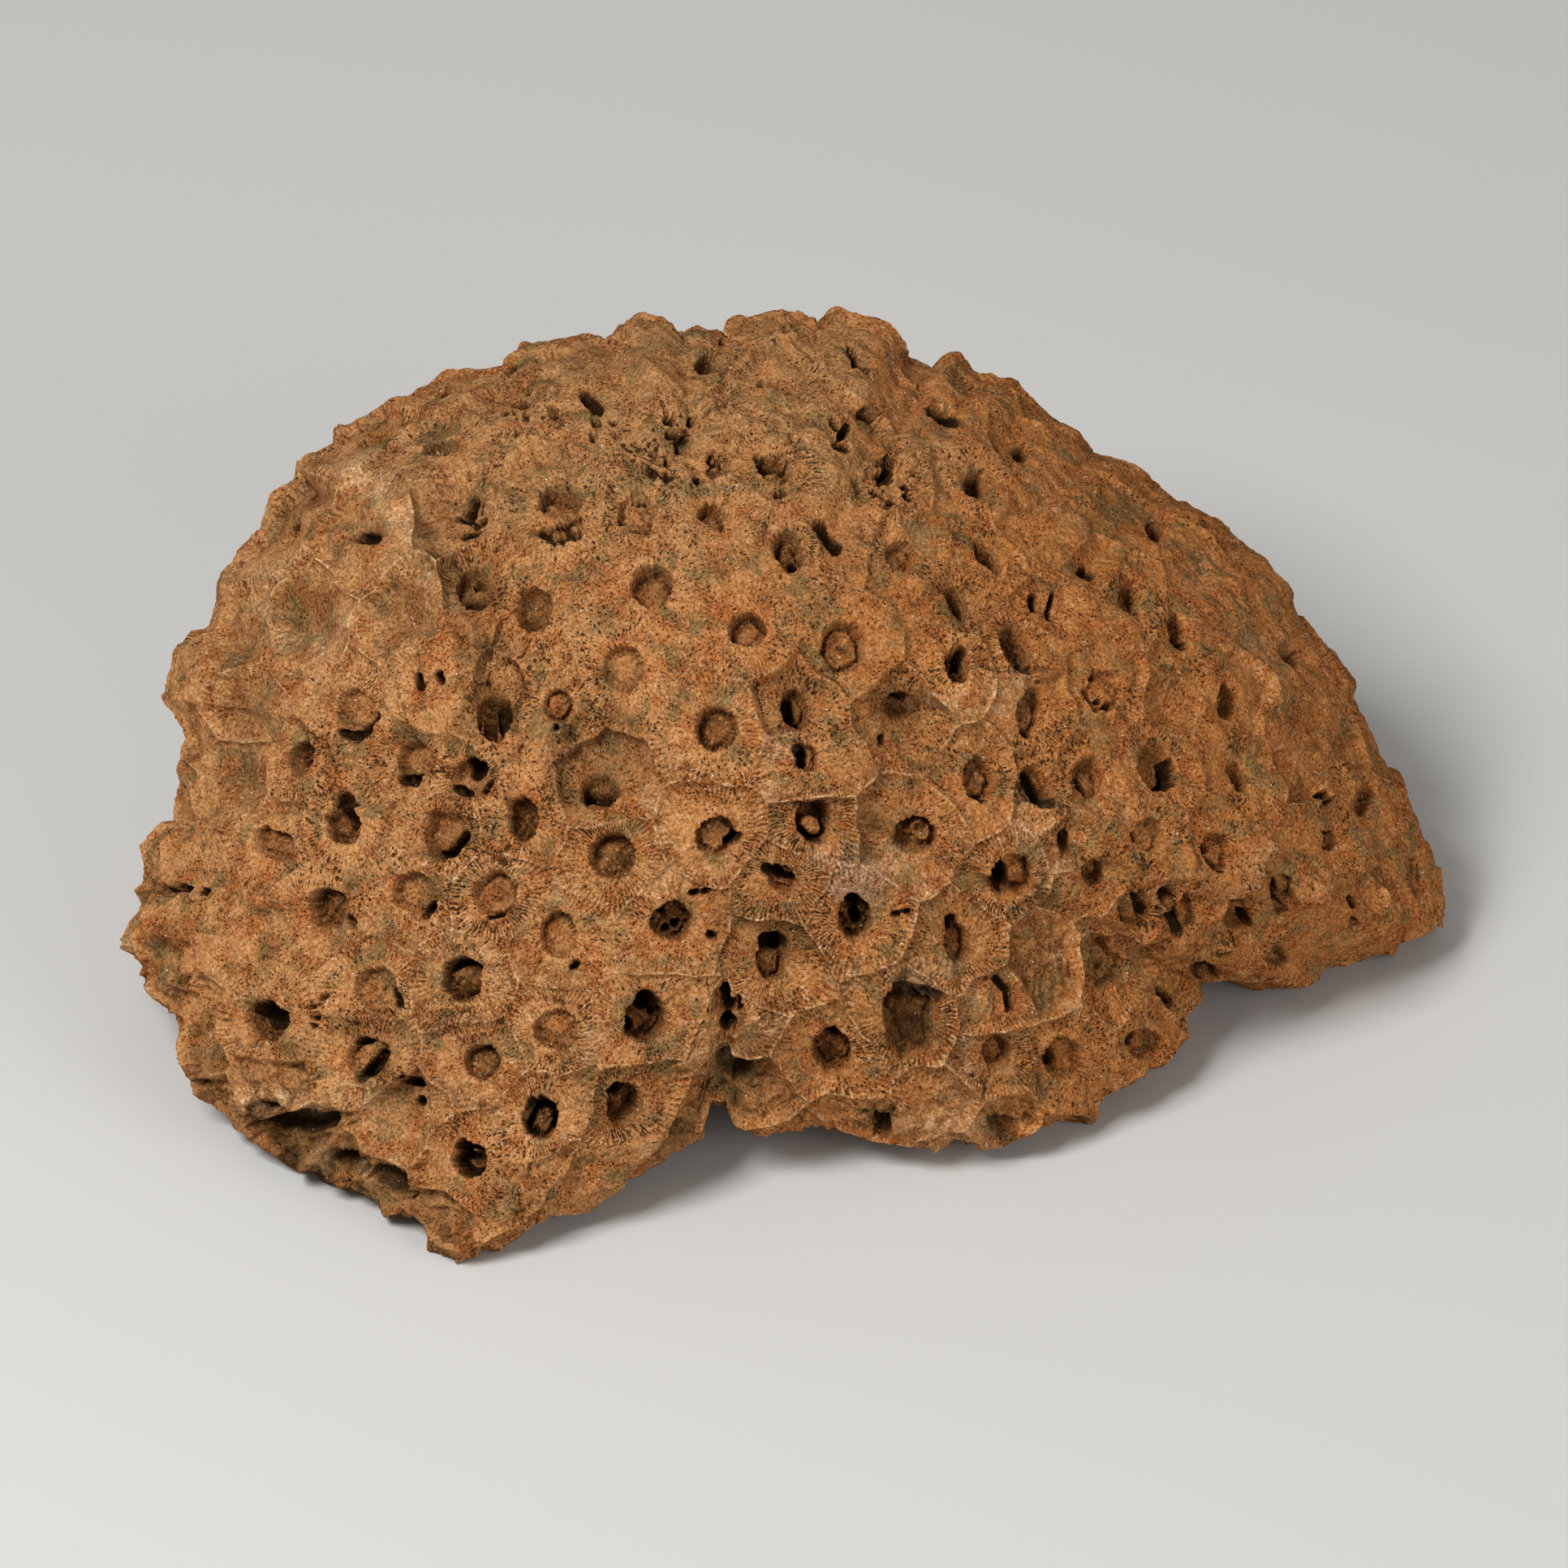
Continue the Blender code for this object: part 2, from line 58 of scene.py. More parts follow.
OUTLINE_PX = (
    (141, 1166), (148, 1146), (165, 1118), (173, 1085), (168, 1048), (188, 1023), (214, 1014), (212, 998),
    (222, 957), (229, 908), (218, 875), (204, 860), (216, 805), (231, 784), (252, 768), (264, 720), (296, 687),
    (325, 650), (333, 612), (360, 592), (362, 567), (392, 559), (418, 527), (453, 510), (480, 494), (511, 483),
    (548, 463), (619, 452), (645, 432), (713, 415), (747, 417), (777, 385), (815, 389), (838, 409), (858, 402),
    (897, 412), (901, 391), (937, 390), (963, 380), (1014, 398), (1028, 380), (1077, 387), (1094, 396),
    (1119, 439), (1155, 450), (1181, 427), (1212, 460), (1243, 468), (1274, 498), (1325, 531), (1350, 564),
    (1382, 568), (1412, 588), (1450, 618), (1500, 643), (1542, 682), (1595, 730), (1604, 760), (1635, 797),
    (1671, 840), (1673, 862), (1700, 915), (1714, 951), (1736, 973), (1760, 1020), (1778, 1076), (1788, 1125),
    (1788, 1145), (1748, 1158), (1694, 1180), (1638, 1193), (1614, 1214), (1567, 1216), (1522, 1207),
    (1484, 1216), (1489, 1233), (1469, 1252), (1454, 1296), (1415, 1332), (1370, 1353), (1339, 1379),
    (1267, 1403), (1226, 1412), (1175, 1406), (1155, 1417), (1099, 1404), (1029, 1384), (930, 1397),
    (908, 1388), (904, 1368), (892, 1355), (874, 1364), (866, 1382), (864, 1403), (840, 1421), (817, 1438),
    (790, 1446), (761, 1461), (724, 1481), (677, 1494), (640, 1519), (598, 1543), (561, 1557), (545, 1540),
    (525, 1509), (463, 1482), (445, 1471), (405, 1460), (390, 1446), (339, 1420), (300, 1390), (254, 1353),
    (215, 1306), (217, 1260), (210, 1238), (180, 1222), (175, 1205), (172, 1191), (158, 1177),
)
# How far the outline stands towards the eye, in millimetres, at some of its points
OUTLINE_OUT = (
    (141, 1166, -10), (216, 1238, -6), (215, 1306, 0), (300, 1390, 6), (400, 1447, 11), (500, 1499, 16),
    (561, 1557, 20), (650, 1509, 19), (760, 1461, 16), (840, 1421, 13), (1000, 1389, 9), (1200, 1404, 6),
    (1302, 1385, 2), (1415, 1332, -4), (1485, 1240, -12), (1615, 1205, -20), (1748, 1158, -29),
    (1788, 1145, -33), (1700, 915, -32), (1440, 606, -30), (1190, 430, -26), (900, 390, -22), (620, 450, -21),
    (400, 549, -19), (264, 720, -17), (220, 940, -14),
)
# How full the body is round its outline: 1.4 gives a sharp broken rim, 2 a round shoulder
FULLNESS = (
    (561, 1557, 1.4), (1200, 1404, 1.4), (1485, 1240, 1.6), (1788, 1145, 1.8), (1500, 643, 2.0),
    (900, 390, 2.0), (400, 549, 1.9), (220, 940, 1.7), (141, 1166, 1.6), (254, 1353, 1.5),
)
# Broad swellings and hollows of the front: place, radius in pixels, height in millimetres. They are a
# ridge and a groove at the left, the hollow under the broken lip at the lower left, and single swellings.
RELIEF_PX = (
    (480, 625, 34, 2.4), (515, 700, 34, 2.2), (565, 765, 32, 1.8), (556, 640, 34, -2.6), (588, 715, 34, -2.4),
    (622, 795, 36, -2.4), (622, 868, 32, -1.8), (300, 1392, 28, -4.5), (352, 1414, 30, -5.5),
    (415, 1452, 30, -5.5), (478, 1480, 28, -5.0), (524, 1512, 24, -4.0), (340, 1345, 26, 2.4),
    (415, 1392, 24, 1.2), (750, 930, 62, -4.5), (1120, 905, 50, -3.4), (1190, 845, 48, 1.8),
    (1265, 835, 40, 1.5), (430, 690, 90, 3.0), (520, 800, 60, 1.8), (645, 740, 70, -1.2), (610, 640, 50, -1.0),
    (379, 768, 36, -1.5), (1362, 850, 45, 1.5), (905, 1335, 50, -3.0), (1040, 720, 80, 1.5),
    (1085, 1000, 45, -2.0), (930, 1240, 55, 2.0), (1122, 1215, 45, 1.0), (1500, 800, 80, 1.5),
    (1440, 870, 45, -1.2), (1560, 850, 40, 1.2), (1600, 1000, 45, 1.0), (1370, 780, 40, 0.9),
    (1250, 640, 40, 0.9), (1480, 990, 40, 0.9),
)


def unit(vectors):
    """Each vector divided by its own length."""
    return vectors / np.linalg.norm(vectors, axis=-1, keepdims=True)


def in_view(places_px):
    """Millimetres across and up from the heart: the pixel step from the heart times the scale."""
    places = np.asarray(places_px, dtype=float)
    across = (places[:, 0] - HEART_PX[0]) * MM_PER_PX
    up = (HEART_PX[1] - places[:, 1]) * MM_PER_PX
    return across, up


def round_table(places_px, values):
    """Values sorted by their angle round the heart."""
    across, up = in_view(places_px)
    angles = np.arctan2(up, across)
    order = np.argsort(angles)
    return angles[order], np.asarray(values, dtype=float)[order]


def soft_round_table(rows, width_degrees):
    """A few values joined round the heart, one a degree, then averaged over a bell of the given width."""
    rows = np.asarray(rows, dtype=float)
    angles, values = round_table(rows[:, :2], rows[:, 2])
    ring = np.radians(np.arange(-180, 180))
    spread = np.interp(ring, angles, values, period=2 * math.pi)
    weights = np.hanning(width_degrees)
    weights /= weights.sum()
    padded = np.concatenate((spread[-width_degrees:], spread, spread[:width_degrees]))
    return ring, np.convolve(padded, weights, mode="same")[width_degrees:-width_degrees]


def by_angle(table, angles):
    """A round table read at any angles, in straight steps between its entries."""
    return np.interp(angles, table[0], table[1], period=2 * math.pi)


OUTLINE = round_table(OUTLINE_PX, np.hypot(*in_view(OUTLINE_PX)))
LEAN = soft_round_table(OUTLINE_OUT, 15)
ROUNDNESS = soft_round_table(FULLNESS, 31)
HEART_VIEW = ((HEART_PX[0] - FRAME_MIDDLE_PX[0]) * MM_PER_PX, (FRAME_MIDDLE_PX[1] - HEART_PX[1]) * MM_PER_PX)


def upright(across, up, out):
    """Places in the view turned upright: depth and height are up and out turned by the view's tilt."""
    depth = up * math.sin(VIEW_TILT) - out * math.cos(VIEW_TILT)
    height = up * math.cos(VIEW_TILT) + out * math.sin(VIEW_TILT)
    return np.stack((across - MIDDLE[0], depth - MIDDLE[1], height - GROUND), axis=-1)


HEART = upright(*HEART_VIEW, HEART_OUT)


def body(directions):
    """Points of the smooth body, in millimetres above the ground, for unit directions from its heart.

    The length along a direction is the inverse power mean of the outline's reach at its angle and of the
    depth in front or behind. Then each point moves out by a lean that grows with the square of its share
    of the reach, and by a bell for each swelling or hollow it is near."""
    to_right, to_top, to_eye = np.moveaxis(directions, -1, 0)
    angles = np.arctan2(to_top, to_right)
    level = np.hypot(to_right, to_top)
    reach = by_angle(OUTLINE, angles)
    power = by_angle(ROUNDNESS, angles)
    depth = np.where(to_eye > 0, FRONT_DEPTH, BACK_DEPTH)
    length = ((level / reach) ** power + (np.abs(to_eye) / depth) ** power) ** (-1.0 / power)
    share = (level * length / reach) ** 2
    out = to_eye * length + HEART_OUT + (by_angle(LEAN, angles) - HEART_OUT) * share
    facing = np.clip(to_eye * 3.0, 0.0, 1.0)
    for x, y, radius, height in RELIEF_PX:
        (across,), (up,) = in_view(((x, y),))
        apart = np.hypot(to_right * length - across, to_top * length - up) / (radius * MM_PER_PX)
        out = out + facing * height * np.exp(-apart ** 2)
    return upright(to_right * length + HEART_VIEW[0], to_top * length + HEART_VIEW[1], out)


def outward(directions):
    """Outward normals of the body: the cross product of two small steps over it."""
    helper = np.where(np.abs(directions[:, 2:3]) < 0.9, (0.0, 0.0, 1.0), (1.0, 0.0, 0.0))
    side = unit(np.cross(directions, helper))
    rise = np.cross(directions, side)
    step = 0.02
    middle = body(directions)
    one = body(unit(directions + side * step)) - middle
    two = body(unit(directions + rise * step)) - middle
    return unit(np.cross(one, two))


def directions_to(places_px):
    """Directions from the heart that meet the front of the body at these places in the view."""
    across, up = in_view(places_px)
    angles = np.arctan2(up, across)
    reach = by_angle(OUTLINE, angles)
    share = np.clip(np.hypot(across, up) / reach, 0.0, 1.0)
    power = by_angle(ROUNDNESS, angles)
    out = FRONT_DEPTH * (1.0 - share ** power) ** (1.0 / power)
    flat = share * reach
    return unit(np.column_stack((flat * np.cos(angles), flat * np.sin(angles), out)))


def ripple(points, size, seed, waves=26):
    """Soft roughness of unit strength: plane sine waves of random aim and phase, near one wavelength."""
    chance = np.random.default_rng(seed)
    aims = unit(chance.normal(size=(waves, 3)))
    lengths = size * chance.uniform(0.65, 1.5, waves)
    phases = chance.uniform(0.0, 2.0 * math.pi, waves)
    total = np.zeros(points.shape[:-1])
    for aim, length, phase in zip(aims, lengths, phases):
        total += np.sin(points @ aim * (2.0 * math.pi / length) + phase)
    return total * math.sqrt(2.0 / waves)


# The cups that the coral animals lived in. Each has a thin raised wall shared with its neighbours, a porous
# platform with fine septa, and a round pit closed below by thin floors. The middles in view are listed, and the
# rest of the colony fills with cups at much the same spacing. Lengths are in millimetres unless a name ends in
# PX.
CUP_SPACING = 8.0
SEEN_CUP_SPACING = 9.6
LOWEST_CUP = 4.5
# How many places are tried for more cups, and the least share that each of three cups has in their corner
SPARE_PLACES = 5000
LEAST_CORNER_SHARE = 0.12
# A cup whose direction points back by more than this isn't seen, and has fewer points
SEEN_LIMIT = -0.12
SEED = 11

# Middle, width and height of the pit in pixels, depth in millimetres, kind of floor, and in degrees either
# the way that its gap or plate faces or, for a plain floor, how far the pit leans to the left at the top
CUPS_PX = (
    (1059, 444, 22, 20, 1.6, "worn", 0), (1167, 510, 40, 26, 2.0, "worn", 0),
    (1260, 555, 25, 25, 3.0, "open", 0), (1203, 597, 32, 38, 3.4, "open", 10),
    (1038, 535, 36, 36, 1.4, "worn", 0), (956, 576, 48, 36, 2.6, "floor", 0),
    (1100, 597, 44, 58, 1.4, "worn", 0), (727, 495, 24, 30, 1.4, "worn", 30),
    (643, 502, 40, 30, 1.0, "worn", 0), (838, 535, 48, 48, 1.0, "worn", 0), (690, 617, 54, 50, 2.6, "floor", 0),
    (785, 629, 44, 48, 1.6, "floor", 0), (878, 633, 38, 30, 2.6, "floor", 0),
    (579, 635, 42, 50, 1.6, "worn", 0), (448, 660, 32, 20, 1.6, "worn", 0), (804, 724, 54, 58, 2.7, "floor", 0),
    (660, 753, 48, 58, 3.0, "floor", 0), (587, 722, 42, 50, 2.4, "floor", 0),
    (972, 678, 36, 54, 3.4, "floor", 15), (1030, 656, 36, 34, 1.6, "worn", 0),
    (1112, 684, 40, 40, 2.0, "floor", 0), (1214, 687, 25, 47, 3.2, "open", 38),
    (1181, 739, 24, 46, 3.4, "open", 30), (1300, 748, 50, 36, 1.4, "worn", 0),
    (1270, 662, 26, 26, 1.5, "worn", 0), (1339, 700, 24, 24, 1.2, "worn", 0),
    (1428, 650, 23, 32, 2.6, "floor", 20), (1392, 737, 26, 42, 2.8, "floor", 12),
    (1480, 706, 20, 24, 1.5, "worn", 0), (1452, 777, 24, 44, 3.2, "open", 24),
    (1596, 806, 19, 36, 2.8, "open", 34), (1514, 869, 28, 42, 2.8, "floor", 25),
    (1437, 880, 30, 34, 2.0, "worn", 0), (1423, 946, 50, 62, 2.8, "floor", 10),
    (1526, 956, 24, 42, 2.6, "floor", 10), (1612, 975, 28, 32, 1.8, "worn", 0),
    (1682, 985, 22, 42, 2.6, "floor", 8), (1642, 1036, 20, 26, 2.0, "floor", 0),
    (1592, 882, 26, 34, 1.5, "worn", 0), (1660, 907, 22, 28, 1.5, "worn", 0),
    (1415, 1028, 36, 45, 2.0, "floor", 0), (1498, 1048, 38, 46, 2.2, "floor", 0),
    (1683, 1105, 58, 58, 1.4, "worn", 0), (1582, 1100, 30, 50, 2.2, "floor", 8),
    (1525, 1127, 34, 42, 2.2, "floor", 0), (1450, 1122, 38, 54, 1.6, "floor", 15),
    (1396, 1121, 36, 50, 1.8, "floor", 12), (1346, 1078, 26, 36, 2.5, "floor", 0),
    (1366, 1188, 46, 56, 2.2, "ring", 0), (1311, 1041, 17, 34, 2.2, "floor", 10),
    (1343, 958, 36, 50, 2.2, "floor", 10), (1275, 970, 34, 56, 2.6, "floor", 24),
    (1207, 960, 42, 54, 2.8, "floor", 8), (1269, 876, 32, 62, 2.8, "floor", -12),
    (1250, 797, 36, 66, 3.8, "open", 26), (1178, 819, 32, 44, 3.0, "open", 0),
    (1362, 850, 46, 54, 1.3, "floor", 0), (1115, 878, 44, 36, 2.6, "floor", 0),
    (1128, 1031, 52, 46, 2.6, "curl", 40), (1005, 1011, 46, 54, 3.6, "lens", -100),
    (982, 872, 34, 50, 3.0, "floor", 10), (995, 935, 26, 34, 2.2, "floor", 0),
    (1041, 797, 55, 62, 2.4, "ring", 60), (921, 778, 48, 44, 2.8, "floor", 0),
    (883, 898, 54, 56, 3.0, "floor", 0), (770, 825, 52, 58, 1.8, "floor", 0),
    (690, 870, 34, 40, 2.0, "ring", 0), (612, 881, 46, 60, 2.6, "floor", 0),
    (741, 971, 46, 46, 2.2, "floor", 0), (884, 1030, 54, 50, 2.6, "floor", 0),
    (755, 1054, 58, 60, 3.4, "floor", 0), (645, 1008, 42, 56, 3.6, "open", 0),
    (583, 958, 48, 50, 2.2, "floor", 0), (508, 938, 44, 48, 1.8, "floor", 0),
    (548, 1028, 55, 60, 2.2, "floor", 0), (513, 1100, 54, 54, 2.0, "floor", 0),
    (423, 1013, 44, 56, 3.8, "open", 0), (404, 1118, 45, 52, 3.2, "open", 0),
    (243, 1084, 40, 34, 1.6, "worn", 0), (289, 872, 30, 30, 1.5, "worn", 0),
    (439, 875, 48, 52, 1.8, "floor", 0), (379, 768, 60, 56, 1.5, "worn", 0), (500, 758, 46, 40, 1.5, "worn", 0),
    (297, 797, 36, 30, 1.0, "worn", 0), (530, 846, 40, 30, 1.0, "worn", 0), (295, 962, 40, 40, 1.0, "worn", 0),
    (290, 1150, 36, 36, 1.0, "worn", 0), (331, 1256, 52, 50, 3.6, "open", 0),
    (467, 1217, 52, 54, 1.7, "floor", 0), (571, 1206, 54, 56, 3.0, "plate", 0),
    (612, 1101, 55, 56, 2.2, "ring", -60), (690, 1150, 46, 60, 2.0, "floor", 0),
    (829, 1134, 52, 52, 3.4, "open", 0), (964, 1084, 44, 34, 2.6, "floor", -50),
    (1054, 1132, 44, 56, 3.8, "open", 0), (1182, 1164, 31, 56, 2.8, "floor", 10),
    (1245, 1076, 54, 58, 2.4, "floor", 0), (955, 1179, 40, 62, 2.8, "floor", 0),
    (798, 1255, 56, 60, 4.0, "open", 0), (899, 1240, 44, 56, 1.8, "floor", 0),
    (686, 1266, 56, 50, 2.0, "floor", 0), (594, 1306, 46, 44, 2.6, "floor", 0),
    (454, 1302, 54, 50, 2.0, "floor", 0), (506, 1346, 40, 42, 1.8, "worn", 0),
    (668, 1375, 44, 52, 3.4, "plate", 0), (775, 1363, 44, 58, 4.0, "open", 0),
    (581, 1426, 46, 46, 5.0, "curl", 35), (1026, 1300, 50, 58, 3.6, "open", 0),
    (1122, 1252, 66, 134, 7.0, "shelf", 88), (1150, 1364, 36, 26, 2.4, "worn", 0),
    (1230, 1298, 34, 42, 2.5, "floor", 0), (1228, 1224, 30, 40, 1.6, "worn", 0),
    (1310, 1303, 50, 52, 1.9, "floor", 0), (1409, 1286, 42, 40, 2.2, "floor", 0),
    (1437, 1241, 36, 42, 1.6, "worn", 0), (1488, 1190, 34, 30, 1.6, "worn", 0),
    (1580, 1180, 24, 26, 2.0, "floor", 0), (650, 1462, 40, 44, 2.0, "worn", 0),
    (724, 1440, 36, 40, 2.0, "worn", 0),
)
# Middles of the broken faces in view, and of the knobs that stick out of the outline
BROKEN_PX = (
    (905, 1335), (325, 1335), (240, 1290), (278, 1352), (350, 1405), (435, 1462), (500, 1497), (1290, 1190),
    (1090, 1378), (1236, 1388), (560, 1500), (222, 1215),
)
KNOBS_PX = (
    (141, 1166), (561, 1557), (1788, 1137), (1181, 427), (795, 386), (948, 388), (1052, 383), (176, 1040),
    (178, 1210), (817, 1438), (1262, 1406), (1160, 1416), (215, 1300),
)
# Platforms that stand clear of their neighbours: how far they are sunk inside their wall and how much
# further they fall to the pit, in millimetres, the slope across them, and the way it falls in degrees
PLATFORMS = {
    (741, 971): (0.7, 0.5, 0.10, 120), (1115, 878): (0.4, 1.2, 0.10, 90), (1128, 1031): (0.6, 0.3, 0.10, 170),
    (955, 1179): (0.8, 0.5, 0.14, 90), (829, 1134): (0.15, 0.3, 0.0, 0), (899, 1240): (0.0, -0.5, 0.06, 120),
    (798, 1255): (0.2, 0.4, 0.04, -60), (884, 1030): (0.5, -0.4, 0.05, 100),
    (1005, 1011): (0.8, 0.2, 0.08, 100), (1054, 1132): (0.1, 0.5, 0.06, -60),
    (1245, 1076): (0.05, -0.4, 0.05, 200), (1182, 1164): (0.5, 0.5, 0.0, 0), (775, 1363): (0.9, 0.3, 0.08, 100),
    (668, 1375): (0.5, 0.2, 0.08, 90), (964, 1084): (0.3, 0.4, 0.05, 180), (982, 872): (0.9, 0.6, 0.10, 150),
    (995, 935): (0.0, -0.3, 0.08, 90), (755, 1054): (0.4, 0.2, 0.0, 0), (883, 898): (0.2, 0.1, 0.0, 0),
    (770, 825): (0.1, -0.3, 0.05, 90), (690, 870): (0.3, -0.4, 0.0, 0), (579, 635): (0.5, 0.2, 0.14, 200),
    (587, 722): (0.6, 0.3, 0.14, 200), (612, 881): (0.6, 0.3, 0.12, 180), (379, 768): (0.35, 1.2, 0.10, 120),
    (500, 758): (0.45, 1.0, 0.08, 120), (297, 797): (0.4, 1.0, 0.06, 90), (289, 872): (0.4, 1.3, 0.0, 0),
    (295, 962): (0.4, 1.2, 0.0, 0), (448, 660): (0.2, 0.8, 0.08, 200), (1366, 1188): (0.5, 0.4, 0.06, 100),
    (1207, 960): (0.6, -0.2, 0.06, 90), (1178, 819): (0.0, 0.2, 0.10, 200), (686, 1266): (0.1, 0.5, 0.05, 160),
    (594, 1306): (0.5, 0.4, 0.06, 120), (454, 1302): (0.2, 0.5, 0.0, 0), (612, 1101): (0.4, -0.3, 0.0, 0),
    (1026, 1300): (0.2, 0.4, 0.06, 120), (1230, 1298): (0.6, 0.3, 0.05, 180),
    (1310, 1303): (0.5, -0.2, 0.05, 180), (1362, 850): (0.6, -0.4, 0.0, 0), (506, 1346): (0.7, 0.9, 0.06, 120),
}
# Pits with a raised collar: how high it stands, in millimetres
COLLARS = {
    (770, 825): 0.30, (612, 1101): 0.35, (1207, 960): 0.35, (1366, 1188): 0.30, (690, 870): 0.25,
    (741, 971): 0.45, (439, 875): 0.25, (1041, 797): 0.25, (467, 1217): 0.25, (883, 898): 0.15,
    (1310, 1303): 0.35, (548, 1028): 0.15, (972, 678): 0.2, (1343, 958): 0.25, (1275, 970): 0.2,
    (1128, 1031): 0.2,
}
